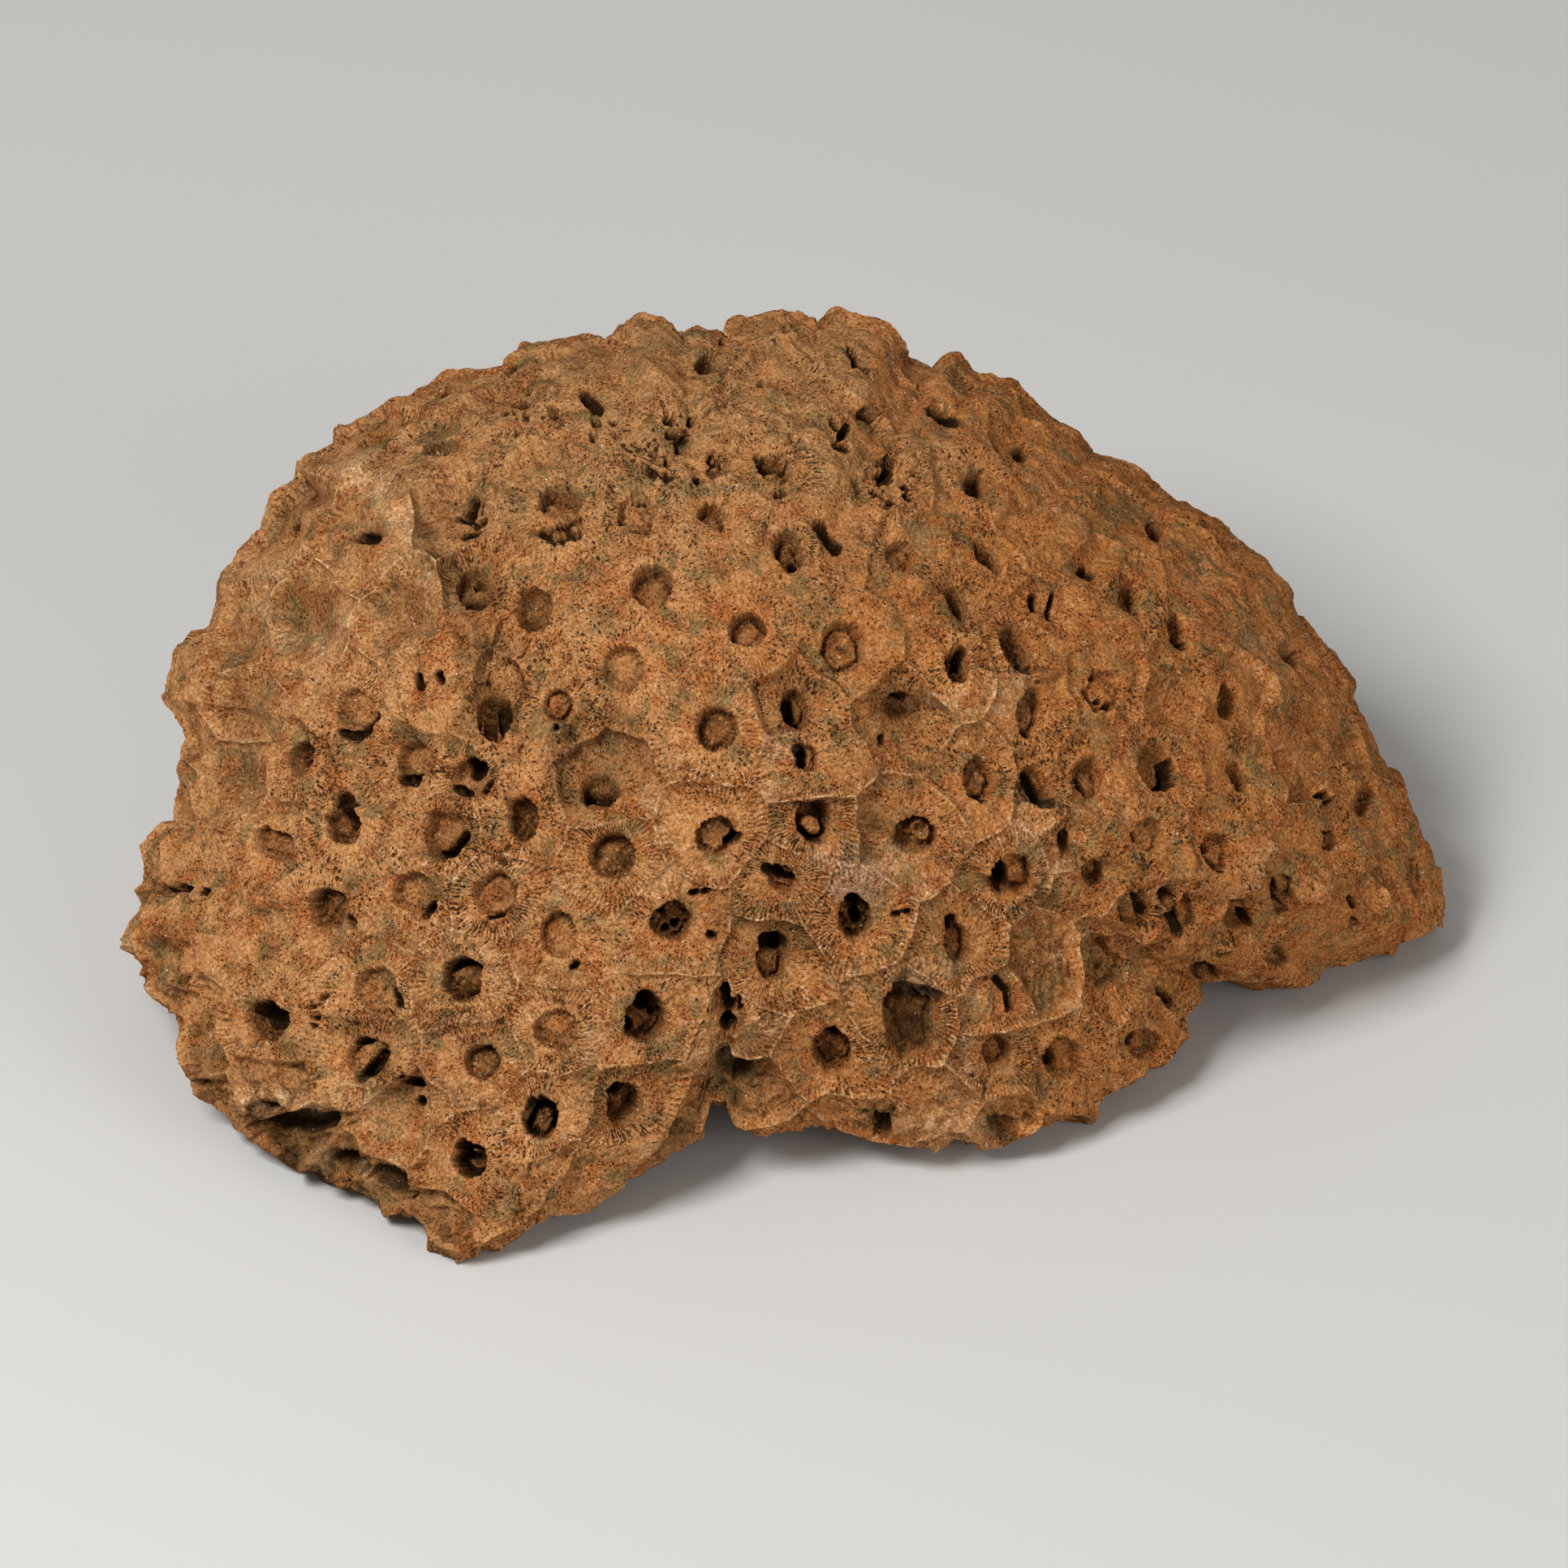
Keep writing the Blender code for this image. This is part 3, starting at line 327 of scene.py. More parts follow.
# Slots and holes cut in the pits' floors and between the septa, painted near black as the shade inside them:
# from one place to another, and radius, in pixels. The widest are the hollows under the lip at the lower left
# and at the broken edge.
CUTS_PX = (
    (308, 1374, 350, 1380, 7), (437, 658, 461, 660, 6), (572, 631, 580, 616, 6), (576, 641, 558, 637, 3),
    (583, 645, 593, 641, 5), (572, 659, 587, 658, 5), (588, 629, 592, 622, 3), (580, 590, 580, 590, 3),
    (613, 677, 614, 678, 3), (588, 734, 594, 735, 10), (593, 708, 593, 709, 5), (519, 834, 519, 849, 4),
    (543, 834, 544, 840, 5), (424, 904, 440, 908, 5), (440, 908, 455, 898, 7), (455, 898, 464, 882, 5),
    (608, 868, 608, 894, 7), (623, 862, 626, 886, 6), (687, 897, 688, 897, 3), (496, 960, 512, 960, 6),
    (583, 944, 583, 950, 9), (563, 971, 576, 977, 4), (598, 975, 606, 964, 5), (426, 984, 424, 996, 9),
    (541, 1053, 557, 1047, 5), (557, 1047, 572, 1029, 7), (729, 965, 754, 967, 7), (900, 1040, 910, 1031, 5),
    (991, 1024, 1000, 1035, 4), (1000, 1035, 1011, 1037, 4), (944, 1072, 959, 1085, 6),
    (959, 1085, 974, 1089, 5), (1050, 1110, 1054, 1116, 8), (1055, 1134, 1058, 1142, 6),
    (820, 1124, 821, 1127, 4), (838, 1142, 840, 1143, 5), (826, 1149, 828, 1149, 4),
    (1174, 1134, 1176, 1146, 6), (947, 1160, 965, 1163, 8), (894, 1216, 896, 1239, 7),
    (895, 1256, 898, 1259, 7), (911, 1224, 911, 1243, 3), (798, 1230, 800, 1237, 10), (780, 1266, 781, 1268, 7),
    (812, 1250, 813, 1252, 4), (975, 862, 980, 882, 6), (986, 890, 986, 892, 5), (984, 924, 988, 930, 7),
    (988, 938, 988, 940, 6), (1104, 868, 1128, 874, 6), (1209, 983, 1210, 984, 5), (1267, 953, 1280, 974, 6),
    (1280, 974, 1290, 990, 6), (1260, 964, 1262, 972, 3), (1230, 1076, 1231, 1090, 8),
    (1308, 1030, 1311, 1050, 4), (1226, 1205, 1240, 1220, 4), (1240, 1220, 1244, 1243, 4),
    (1297, 1301, 1299, 1312, 7), (1106, 1224, 1152, 1227, 8), (1023, 1278, 1028, 1282, 8),
    (657, 1354, 651, 1376, 5), (668, 1351, 682, 1360, 4), (686, 1370, 684, 1384, 3), (766, 1345, 772, 1348, 9),
    (430, 1131, 436, 1138, 4), (526, 1126, 535, 1115, 5), (606, 1129, 624, 1124, 3), (706, 1190, 713, 1186, 4),
    (553, 1190, 573, 1182, 5), (575, 1182, 594, 1190, 4), (488, 1218, 489, 1226, 4), (494, 1226, 496, 1236, 4),
    (320, 1246, 329, 1245, 12), (461, 1310, 467, 1297, 5), (445, 1326, 460, 1308, 6), (440, 1282, 450, 1280, 4),
    (499, 1328, 516, 1331, 5), (514, 1353, 516, 1354, 5), (571, 1408, 573, 1418, 7), (722, 488, 736, 504, 7),
    (628, 461, 633, 452, 4), (637, 499, 649, 502, 5), (636, 511, 637, 512, 3), (651, 519, 652, 520, 4),
    (625, 513, 626, 513, 3), (640, 540, 640, 541, 3), (652, 484, 652, 486, 3), (681, 508, 684, 512, 4),
    (690, 518, 693, 522, 3), (735, 522, 736, 525, 5), (755, 522, 757, 522, 3), (731, 538, 732, 539, 4),
    (756, 538, 762, 538, 3), (672, 653, 692, 649, 3), (692, 649, 712, 643, 6), (670, 660, 685, 667, 6),
    (685, 667, 711, 663, 7), (767, 641, 768, 645, 4), (780, 647, 797, 649, 4), (782, 613, 794, 616, 3),
    (826, 514, 832, 515, 5), (831, 529, 843, 532, 5), (847, 537, 850, 534, 5), (840, 541, 841, 552, 4),
    (853, 516, 853, 521, 4), (804, 550, 808, 550, 4), (805, 559, 810, 559, 3), (824, 564, 826, 566, 4),
    (816, 576, 824, 576, 4), (822, 589, 826, 591, 6), (798, 581, 806, 585, 4), (796, 565, 804, 571, 3),
    (812, 586, 813, 587, 3), (876, 560, 877, 560, 4), (877, 570, 879, 571, 5), (878, 584, 883, 582, 5),
    (857, 592, 858, 596, 4), (875, 641, 887, 648, 5), (935, 563, 967, 569, 5), (960, 609, 968, 608, 4),
    (1026, 518, 1036, 524, 4), (1050, 520, 1042, 533, 5), (1035, 547, 1041, 550, 7), (978, 684, 980, 690, 6),
    (1010, 651, 1029, 674, 8), (1150, 506, 1183, 519, 7), (1048, 431, 1067, 453, 5), (1094, 568, 1095, 588, 7),
    (1083, 588, 1086, 598, 4), (1080, 610, 1096, 620, 5), (1102, 617, 1105, 619, 4), (1117, 612, 1120, 616, 4),
    (1116, 600, 1118, 602, 4), (1068, 507, 1077, 512, 5), (1423, 640, 1424, 643, 5), (1330, 700, 1337, 698, 3),
    (1338, 695, 1346, 705, 5), (1202, 671, 1204, 674, 5), (1225, 700, 1227, 704, 5), (1272, 736, 1273, 750, 5),
    (1294, 734, 1295, 745, 3), (1294, 752, 1294, 760, 4), (1263, 816, 1266, 824, 7), (1183, 803, 1183, 809, 6),
    (1179, 832, 1182, 834, 6), (1395, 748, 1397, 754, 6), (1457, 790, 1459, 795, 5), (1338, 853, 1350, 872, 5),
    (1348, 826, 1347, 834, 3), (1356, 862, 1358, 863, 3), (1367, 869, 1370, 868, 4), (1263, 901, 1266, 904, 5),
    (1507, 850, 1511, 857, 6), (1333, 955, 1341, 973, 5), (1443, 938, 1443, 962, 6), (1443, 962, 1434, 969, 5),
    (1641, 1026, 1641, 1030, 6), (1400, 1027, 1401, 1034, 4), (1489, 1058, 1502, 1070, 5),
    (1491, 1042, 1491, 1045, 4), (1381, 1114, 1393, 1136, 4), (1406, 1100, 1414, 1124, 4),
    (1437, 1101, 1450, 1146, 7), (1427, 1120, 1428, 1128, 3), (1516, 1115, 1516, 1134, 5),
    (1524, 1109, 1527, 1113, 4), (1537, 1133, 1540, 1140, 4), (1571, 1095, 1577, 1120, 5),
    (1671, 1108, 1673, 1113, 6), (1698, 1074, 1713, 1096, 4), (1667, 1134, 1669, 1136, 4),
    (1478, 1193, 1488, 1201, 9), (1502, 1175, 1510, 1173, 5), (1429, 1222, 1443, 1235, 6),
    (1400, 1290, 1405, 1276, 5), (1631, 982, 1632, 985, 6), (628, 816, 630, 817, 4), (639, 823, 641, 825, 4),
    (648, 838, 648, 839, 3), (606, 838, 607, 838, 3), (854, 1099, 859, 1098, 4), (868, 1097, 872, 1096, 4),
    (876, 1150, 880, 1153, 4), (1103, 1127, 1107, 1126, 4), (1116, 1124, 1119, 1123, 3),
    (387, 1240, 396, 1238, 2.5), (388, 1252, 398, 1251, 3), (384, 1262, 393, 1263, 2.5),
    (400, 1229, 406, 1225, 3), (220, 1092, 232, 1096, 4), (248, 1097, 258, 1099, 4), (1086, 912, 1087, 916, 4),
    (312, 1373, 345, 1381, 12), (345, 1382, 380, 1385, 13), (380, 1384, 402, 1381, 9),
    (416, 1432, 440, 1440, 11), (470, 1450, 500, 1462, 12), (232, 1322, 240, 1332, 8),
    (190, 1094, 214, 1100, 5), (1084, 1380, 1086, 1390, 10), (1232, 1392, 1240, 1396, 10),
    (898, 1308, 912, 1314, 12),
)


def even_directions(count):
    """Directions spread evenly over a sphere along a golden spiral."""
    index = np.arange(count) + 0.5
    height = 1.0 - 2.0 * index / count
    turn = index * math.pi * (3.0 - math.sqrt(5.0))
    radius = np.sqrt(1.0 - height ** 2)
    return np.column_stack((radius * np.cos(turn), radius * np.sin(turn), height))


def fill_gaps(directions):
    """Directions added where the body is bare for more than the cup spacing, furthest point first."""
    spare = even_directions(SPARE_PLACES)
    places = body(spare)
    bare = np.full(len(spare), np.inf)
    for place in body(directions):
        bare = np.minimum(bare, np.linalg.norm(places - place, axis=1))
    needed = np.where(spare[:, 2] < 0, CUP_SPACING, SEEN_CUP_SPACING)
    chosen = []
    while (bare / needed).max() > 1.0:
        pick = int((bare / needed).argmax())
        chosen.append(spare[pick])
        bare = np.minimum(bare, np.linalg.norm(places - places[pick], axis=1))
    return np.vstack((directions, np.array(chosen)))


def meeting_triangles(directions):
    """Neighbouring cup middles by threes, from the hull of their directions."""
    hull = bmesh.new()
    for direction in directions:
        hull.verts.new(direction)
    bmesh.ops.convex_hull(hull, input=hull.verts)
    hull.verts.index_update()
    triangles = np.array([[vert.index for vert in face.verts] for face in hull.faces])
    hull.free()
    return triangles


def corner_directions(directions, triangles):
    """Directions where three cups meet: the circle's middle through each three, kept inside them."""
    places = body(directions)[triangles]
    sides = np.stack([((places[:, (k + 1) % 3] - places[:, (k + 2) % 3]) ** 2).sum(axis=1) for k in range(3)])
    weights = sides * (sides.sum(axis=0) - 2.0 * sides)
    weights /= weights.sum(axis=0)
    weights = np.clip(weights, LEAST_CORNER_SHARE, 1.0)
    return unit((directions[triangles] * weights.T[:, :, None]).sum(axis=1))


def corners_in_order(directions, corners, triangles):
    """Each cup's corner numbers in turn, counterclockwise as seen from outside."""
    rings = [[] for _ in directions]
    for number, triangle in enumerate(triangles):
        for cup in triangle:
            rings[cup].append(number)
    ordered = []
    for direction, ring in zip(directions, rings):
        helper = np.array((0.0, 0.0, 1.0)) if abs(direction[2]) < 0.9 else np.array((1.0, 0.0, 0.0))
        side = np.cross(helper, direction)
        rise = np.cross(direction, side)
        turns = [math.atan2(corners[number] @ rise, corners[number] @ side) for number in ring]
        ordered.append([ring[k] for k in np.argsort(turns)])
    return ordered


set_by_hand = [row[:2] for row in CUPS_PX] + list(BROKEN_PX) + list(KNOBS_PX)
cup_directions = fill_gaps(directions_to(set_by_hand))
triangles = meeting_triangles(cup_directions)
corner_ways = corner_directions(cup_directions, triangles)
cup_rings = corners_in_order(cup_directions, corner_ways, triangles)
cup_middles = body(cup_directions)
cup_normals = outward(cup_directions)
cup_seen = cup_directions[:, 2] > SEEN_LIMIT

# The walls between the cups: every wall is one line of points that both of its cups share, so that no
# crack opens between them. Walls are thin, raised and a little crooked.
SEEN_STEP = 0.29
UNSEEN_STEP = 0.75
WALL_HEIGHT = 0.34
SEPTA = 24
# How far the whole skin stands out from the body, so that it covers the plain solid
SKIN_SWELL = 0.35
CROOKED_SIZE, CROOKED_BY, CROOKED_SEEDS = 0.10, 0.0034, (21, 22, 23)
# Where the walls are still crisp, and cups whose septa stand out in rays: place, radius in pixels, strength
CRISP_PX = (
    (930, 1120, 260, 1.0), (640, 1280, 190, 0.8), (1200, 1150, 200, 0.9), (1190, 860, 90, 0.8),
    (790, 980, 60, 0.7), (500, 690, 90, 0.9), (380, 770, 110, 1.0), (1120, 1290, 120, 1.0), (290, 850, 90, 0.8),
    (300, 980, 80, 0.8), (400, 600, 80, 0.7), (560, 1100, 150, 0.7),
)
RAYED_PX = (
    (755, 1054), (1245, 1076), (964, 1084), (686, 1266), (1228, 1224), (1230, 1298), (724, 1440), (650, 1462),
    (506, 1346), (454, 1302), (775, 1363), (1122, 1252), (899, 1240), (331, 1256), (785, 629), (643, 502),
    (1005, 1011), (1150, 1364), (612, 1101), (583, 958),
)
# Areas where the platforms are eaten through by coarse pores: place, radius in pixels, strength
POROUS_PX = (
    (625, 515, 26, 1.5), (665, 520, 18, 1.4), (790, 548, 40, 1.7), (835, 525, 26, 1.5), (815, 580, 30, 1.7),
    (852, 588, 22, 1.5), (880, 572, 16, 1.4), (700, 600, 20, 1.3), (1092, 590, 32, 1.7), (650, 812, 32, 1.4),
    (600, 860, 26, 1.3), (700, 905, 20, 1.3), (822, 552, 60, 1.0), (660, 510, 60, 0.9), (620, 830, 50, 0.6),
    (560, 1150, 70, 0.5), (480, 1260, 60, 0.5), (800, 1310, 60, 0.6), (700, 1210, 60, 0.4),
    (480, 900, 60, 0.45), (1100, 592, 50, 0.8), (1180, 720, 50, 0.3), (740, 1100, 60, 0.4),
    (1310, 750, 60, 0.4), (650, 1480, 60, 0.6), (340, 1220, 60, 0.5), (240, 1100, 60, 0.5),
    (1450, 1230, 50, 0.5), (980, 980, 60, 0.4), (1100, 1180, 50, 0.35), (680, 960, 50, 0.6),
    (560, 800, 40, 0.4), (742, 892, 34, 0.9), (880, 960, 50, 0.4), (640, 1240, 60, 0.7), (560, 1250, 50, 0.8),
    (400, 1180, 40, 0.5), (430, 960, 50, 0.5),
)


def wall_lines(rings, corners, seen):
    """The numbers of the points between each two corners that a wall joins, and the ways to all points."""
    users = {}
    for cup, ring in enumerate(rings):
        for start, end in zip(ring, ring[1:] + ring[:1]):
            users.setdefault((min(start, end), max(start, end)), []).append(cup)
    places = body(corners)
    lines = {}
    ways = [corners]
    total = len(corners)
    for (start, end), cups in users.items():
        step = SEEN_STEP if seen[cups].any() else UNSEEN_STEP
        steps = max(2, int(round(np.linalg.norm(places[start] - places[end]) / step)))
        share = np.linspace(0.0, 1.0, steps + 1)[1:-1, None]
        ways.append(corners[start] * (1.0 - share) + corners[end] * share)
        line = np.arange(total, total + steps - 1)
        lines[(start, end)], lines[(end, start)] = line, line[::-1]
        total += steps - 1
    ways = unit(np.vstack(ways))
    crooked = np.column_stack([ripple(ways, CROOKED_SIZE, seed) for seed in CROOKED_SEEDS])
    return lines, unit(ways + CROOKED_BY * crooked)


wall_points, wall_ways = wall_lines(cup_rings, corner_ways, cup_seen)
wall_places = body(wall_ways)
wall_normals = outward(wall_ways)


# The worn stone's own roughness in three sizes: height and size in millimetres, and seed
ROUGHNESS = ((0.16, 4.5, 31), (0.055, 1.7, 32), (0.035, 0.8, 33))


def roughen(points):
    """Height of the stone's roughness: the sum of its ripples."""
    return sum(height * ripple(points, size, seed) for height, size, seed in ROUGHNESS)


def in_the_view(offsets):
    """Steps in upright space seen along the line of sight: across, and up in the picture."""
    up = offsets[..., 1] * math.sin(VIEW_TILT) + offsets[..., 2] * math.cos(VIEW_TILT)
    return offsets[..., 0], up


def in_pixels(places):
    """Upright places as pixels of the picture: across from its left edge and down from its top."""
    across, up = in_the_view(places + np.array((MIDDLE[0], MIDDLE[1], GROUND)))
    return across / MM_PER_PX + FRAME_MIDDLE_PX[0], FRAME_MIDDLE_PX[1] - up / MM_PER_PX


def bells(places, spots_px):
    """The strongest, at each place, of the bells round spots of the picture: x, y, radius and strength."""
    across, down = in_pixels(places)
    strongest = np.zeros(across.shape)
    for x, y, radius, strength in spots_px:
        apart = ((across - x) ** 2 + (down - y) ** 2) / radius ** 2
        strongest = np.maximum(strongest, strength * np.exp(-apart))
    return strongest


def smooth(values, low, high):
    """Zero below low, one above high and an S-shaped rise between."""
    share = np.clip((values - low) / (high - low), 0.0, 1.0)
    return share * share * (3.0 - 2.0 * share)


def within(values, full, none):
    """One where values are nearer to zero than full, falling in an S to zero where they are beyond none."""
    return smooth(-np.abs(values), -none, -full)


# A cut is this deep in millimetres, deeper by this much a pixel of its radius, and no deeper than the last
CUT_DEPTH, CUT_DEPTH_PER_PX, DEEPEST_CUT = 1.2, 0.16, 3.4
LEAST_CRISP = 0.32


def cuts_into(places):
    """How deep the slots and holes go in, in millimetres: steep sides round a line from place to place."""
    x, y = in_pixels(places)
    deepest = np.zeros(x.shape)
    for x_one, y_one, x_two, y_two, radius in CUTS_PX:
        away_x = max(x.min() - max(x_one, x_two), min(x_one, x_two) - x.max())
        away_y = max(y.min() - max(y_one, y_two), min(y_one, y_two) - y.max())
        if max(away_x, away_y) > radius * 1.5:
            continue
        long_x, long_y = x_two - x_one, y_two - y_one
        share = ((x - x_one) * long_x + (y - y_one) * long_y) / max(long_x ** 2 + long_y ** 2, 1)
        share = np.clip(share, 0.0, 1.0)
        apart = np.hypot(x - x_one - share * long_x, y - y_one - share * long_y) / radius
        depth = min(CUT_DEPTH + CUT_DEPTH_PER_PX * radius, DEEPEST_CUT)
        deepest = np.maximum(deepest, depth * within(apart, 0.70, 1.45))
    return deepest


def crispness(places):
    """How sharp the walls stand: full in the middle of the front, a third where the stone is worn."""
    return LEAST_CRISP + (1.0 - LEAST_CRISP) * np.minimum(1.0, 1.2 * bells(places, CRISP_PX))


wall_crispness = crispness(wall_places)
wall_lift = WALL_HEIGHT * np.clip(0.8 + 0.45 * ripple(wall_places, 5.0, 34), 0.15, 1.5)
wall_breadth = 0.16 + 0.75 * (1.0 - wall_crispness)
wall_crest = wall_places + wall_normals * (wall_lift + SKIN_SWELL + roughen(wall_places))[:, None]


def ring_of(cup):
    """The numbers of a cup's wall points, in turn."""
    ring = cup_rings[cup]
    walls = zip(ring, ring[1:] + ring[:1])
    return np.concatenate([np.append(start, wall_points[(start, end)]) for start, end in walls])


ACROSS = np.array((1.0, 0.0, 0.0))
# Rings of points in a cup: how far they lie from its wall, how many cross its platform, and the shares of
# the way from its middle to its lip that the others lie at
PIT_RINGS = (1.0, 0.97, 0.94, 0.90, 0.85, 0.80, 0.74, 0.68, 0.62, 0.55, 0.48, 0.41, 0.34, 0.26, 0.17, 0.08)
SEEN_RINGS = ((0.10, 0.20, 0.34, 0.55, 0.85), 9, PIT_RINGS)
HIDDEN_RINGS = ((0.3, 0.8), 3, PIT_RINGS[::2])
# The least radius of a pit's lip, and the largest shares of the way to the wall, for a pit and for a shelf
LEAST_LIP, WIDEST_LIP, WIDEST_SHELF_LIP = 0.5, 0.80, 0.92
# How deep in shade the slots and holes count, in cups and in broken faces
CUP_CUT_SHADE, BROKEN_CUT_SHADE = 4.2, 4.4
# A platform narrower than this, in millimetres, has a narrower wall too
WHOLE_PLATFORM = 2.2
# Pores of a platform where the stone is wholly porous, the least share of that, and sizes in millimetres
PORES_TO_A_CUP, LEAST_POROSITY = 40, 0.10
PORE_SIZES, PORE_GROWTH = (0.13, 0.19), 0.14
# Pits of cups that aren't set by hand: depth, radius and kinds of floor
SPARE_DEPTHS = (2.0, 4.5)
SPARE_LIPS = (1.6, 2.5)
SPARE_KINDS = ("open", "floor", "floor", "gap", "gap", "slits", "bars", "worn")


def round_a_cup(cup, ring):
    """How far the wall points lie from the cup's middle, their turn round it, and where turns start."""
    side = unit(ACROSS - cup_normals[cup] * cup_normals[cup][0])
    offsets = wall_places[ring] - cup_middles[cup]
    turn = np.arctan2(offsets @ np.cross(cup_normals[cup], side), offsets @ side)
    return np.linalg.norm(offsets, axis=1), turn, side


def part_way(cup, ring, share):
    """The body's points and normals at shares of the way from a cup's middle to its wall points."""
    way, normal = cup_directions[cup], cup_normals[cup]
    ways = unit(way + (wall_ways[ring] - way)[None] * share[:, :, None])
    normals = unit(normal + (wall_normals[ring] - normal)[None] * (share ** 2)[:, :, None])
    return body(ways), normals


def raised(base, normals, height):
    """Points moved out along their normals by their height, then by the skin's swell and roughness."""
    places = base + normals * height[:, :, None]
    return places + normals * (SKIN_SWELL + roughen(places))[:, :, None]


def pit_floor(kind, turn, share, x, y, depth, chance):
    """Depth of a pit's floor below its lip.

    share is 0 at the middle and 1 at the pit's wall, x and y are the same in two directions. A floor is a
    low dome with a deeper margin; a gap is a crescent cut beside it where it faces turn; a ring is a raised
    circle on it; slits are narrow cuts across turn; bars are thin ribs left over a deep pit; a shelf is a
    thin step over a deep pit; an open pit is only rough; a plate is a low disc on the floor; a curl is a
    thin round rim standing in the pit and a lens a whole disc; a worn pit is a shallow bowl."""
    aim = math.radians(turn)
    facing = np.cos(np.arctan2(y, x) - aim)
    along = x * math.cos(aim) + y * math.sin(aim)
    aside = y * math.cos(aim) - x * math.sin(aim)
    waves = chance.uniform(0.0, 6.3, 6)
    rough = 0.14 * np.sin(5.0 * x + waves[0]) * np.sin(5.5 * y + waves[1])
    rough += 0.11 * np.sin(9.0 * along + waves[2]) * np.sin(8.0 * aside + waves[5])
    fins = 0.10 * smooth(share, 0.45, 0.85) * np.cos(SEPTA * np.arctan2(y, x) + waves[4])
    lumps = 0.12 * np.sin(12.0 * x + 2.0 * y + waves[3]) * np.sin(13.0 * y - 2.0 * x + waves[0])
    tilt = chance.uniform(-0.3, 0.3, 2)
    dome = depth * (0.64 + 0.18 * smooth(share, 0.45, 0.88) + 0.5 * (tilt[0] * x + tilt[1] * y))
    dome = dome + rough + 0.8 * lumps + fins
    if kind == "gap":
        bite = smooth(share, 0.54 + 0.05 * math.sin(waves[3]), 0.74) * smooth(facing, 0.35, 0.62)
        return 0.7 * dome + 0.25 * along * depth + bite * (depth * 0.3 + 1.6)
    if kind == "ring":
        rim = np.exp(-((share - 0.66 + 0.05 * np.sin(3.0 * np.arctan2(y, x) + waves[3])) / 0.10) ** 2)
        heart = np.exp(-((along - 0.05) ** 2 / 0.012 + (aside + 0.1) ** 2 / 0.045))
        return dome - 0.22 * depth * rim + 0.35 * depth * heart
    if kind == "slits":
        one = within(along - 0.02 - 0.15 * aside, 0.05, 0.17) * within(aside, 0.56, 0.74)
        two = within(along - 0.50 + 0.12 * aside, 0.08, 0.20) * within(aside, 0.48, 0.64)
        return 0.8 * dome + np.maximum(one, two) * (depth * 0.3 + 2.2)
    if kind == "bars":
        across = np.sin(4.2 * along + 0.9 * np.sin(3.0 * aside + waves[0]) + waves[1])
        cross = np.sin(2.7 * aside + 0.8 * np.sin(3.4 * along + waves[2]) + waves[3])
        rib = np.maximum(within(across, 0.16, 0.50), 0.85 * within(cross, 0.10, 0.40))
        return 0.30 + rough + (1.0 - rib) * (depth * 0.5 + 1.8)
    if kind == "shelf":
        ledge = smooth(along, 0.36, 0.46)
        slot = within(along - 0.26, 0.04, 0.15)
        floor = depth * (0.44 + 0.12 * along + 0.22 * slot) + 1.6 * rough + 2.4 * lumps
        return floor * (1.0 - ledge) + (0.10 + 0.25 * (1.0 - along)) * depth * ledge
    if kind == "open":
        return depth * (0.92 - 0.16 * (1.0 - share ** 3)) + 1.8 * rough + 1.8 * lumps + fins
    if kind == "plate":
        return dome + 0.9 * lumps + depth * (0.16 + 0.20 * smooth(share, 0.46, 0.74))
    if kind in ("curl", "lens"):
        apart = np.hypot((along - 0.24) * 1.15, aside * 0.9)
        plate = np.exp(-((apart - 0.42) / 0.085) ** 2) * smooth(-along, -0.66, -0.45)
        if kind == "lens":
            plate = within(np.hypot((along - 0.32) * 1.1, aside * 0.95), 0.46, 0.56) * 0.8
        floor = depth * (0.95 - 0.25 * within(apart, 0.34, 0.46)) + 1.5 * rough
        return floor - (floor - 0.22 * depth) * plate
    if kind == "worn":
        return 0.34 * depth * (1.0 - share ** 2) + 0.5 * rough
    return dome


def platform_pores(x, y, turn, lip, reach, porosity, phase, chance):
    """Depth of a platform's pores: each a steep-sided bell between two septa, longer along them."""
    depth = np.zeros(x.shape)
    for _ in range(int(porosity * PORES_TO_A_CUP)):
        ray = (chance.integers(0, 2 * SEPTA) + 0.5) * math.pi / SEPTA - phase
        far = chance.uniform(0.0, 1.0) ** 0.7
        nearest = int(np.abs(np.angle(np.exp(1j * (turn - ray)))).argmin())
        far = lip[nearest] + (reach[nearest] - lip[nearest]) * (0.12 + 0.78 * far)
        size = chance.uniform(*PORE_SIZES) + PORE_GROWTH * porosity * chance.uniform(0.0, 1.0)
        stretch = chance.uniform(0.55, 0.9)
        ahead = (x * math.cos(ray) + y * math.sin(ray) - far) * stretch
        beside = y * math.cos(ray) - x * math.sin(ray)
        depth += (0.4 + 1.6 * size) * np.exp(-((ahead ** 2 + beside ** 2) / size ** 2) ** 1.5)
    return depth


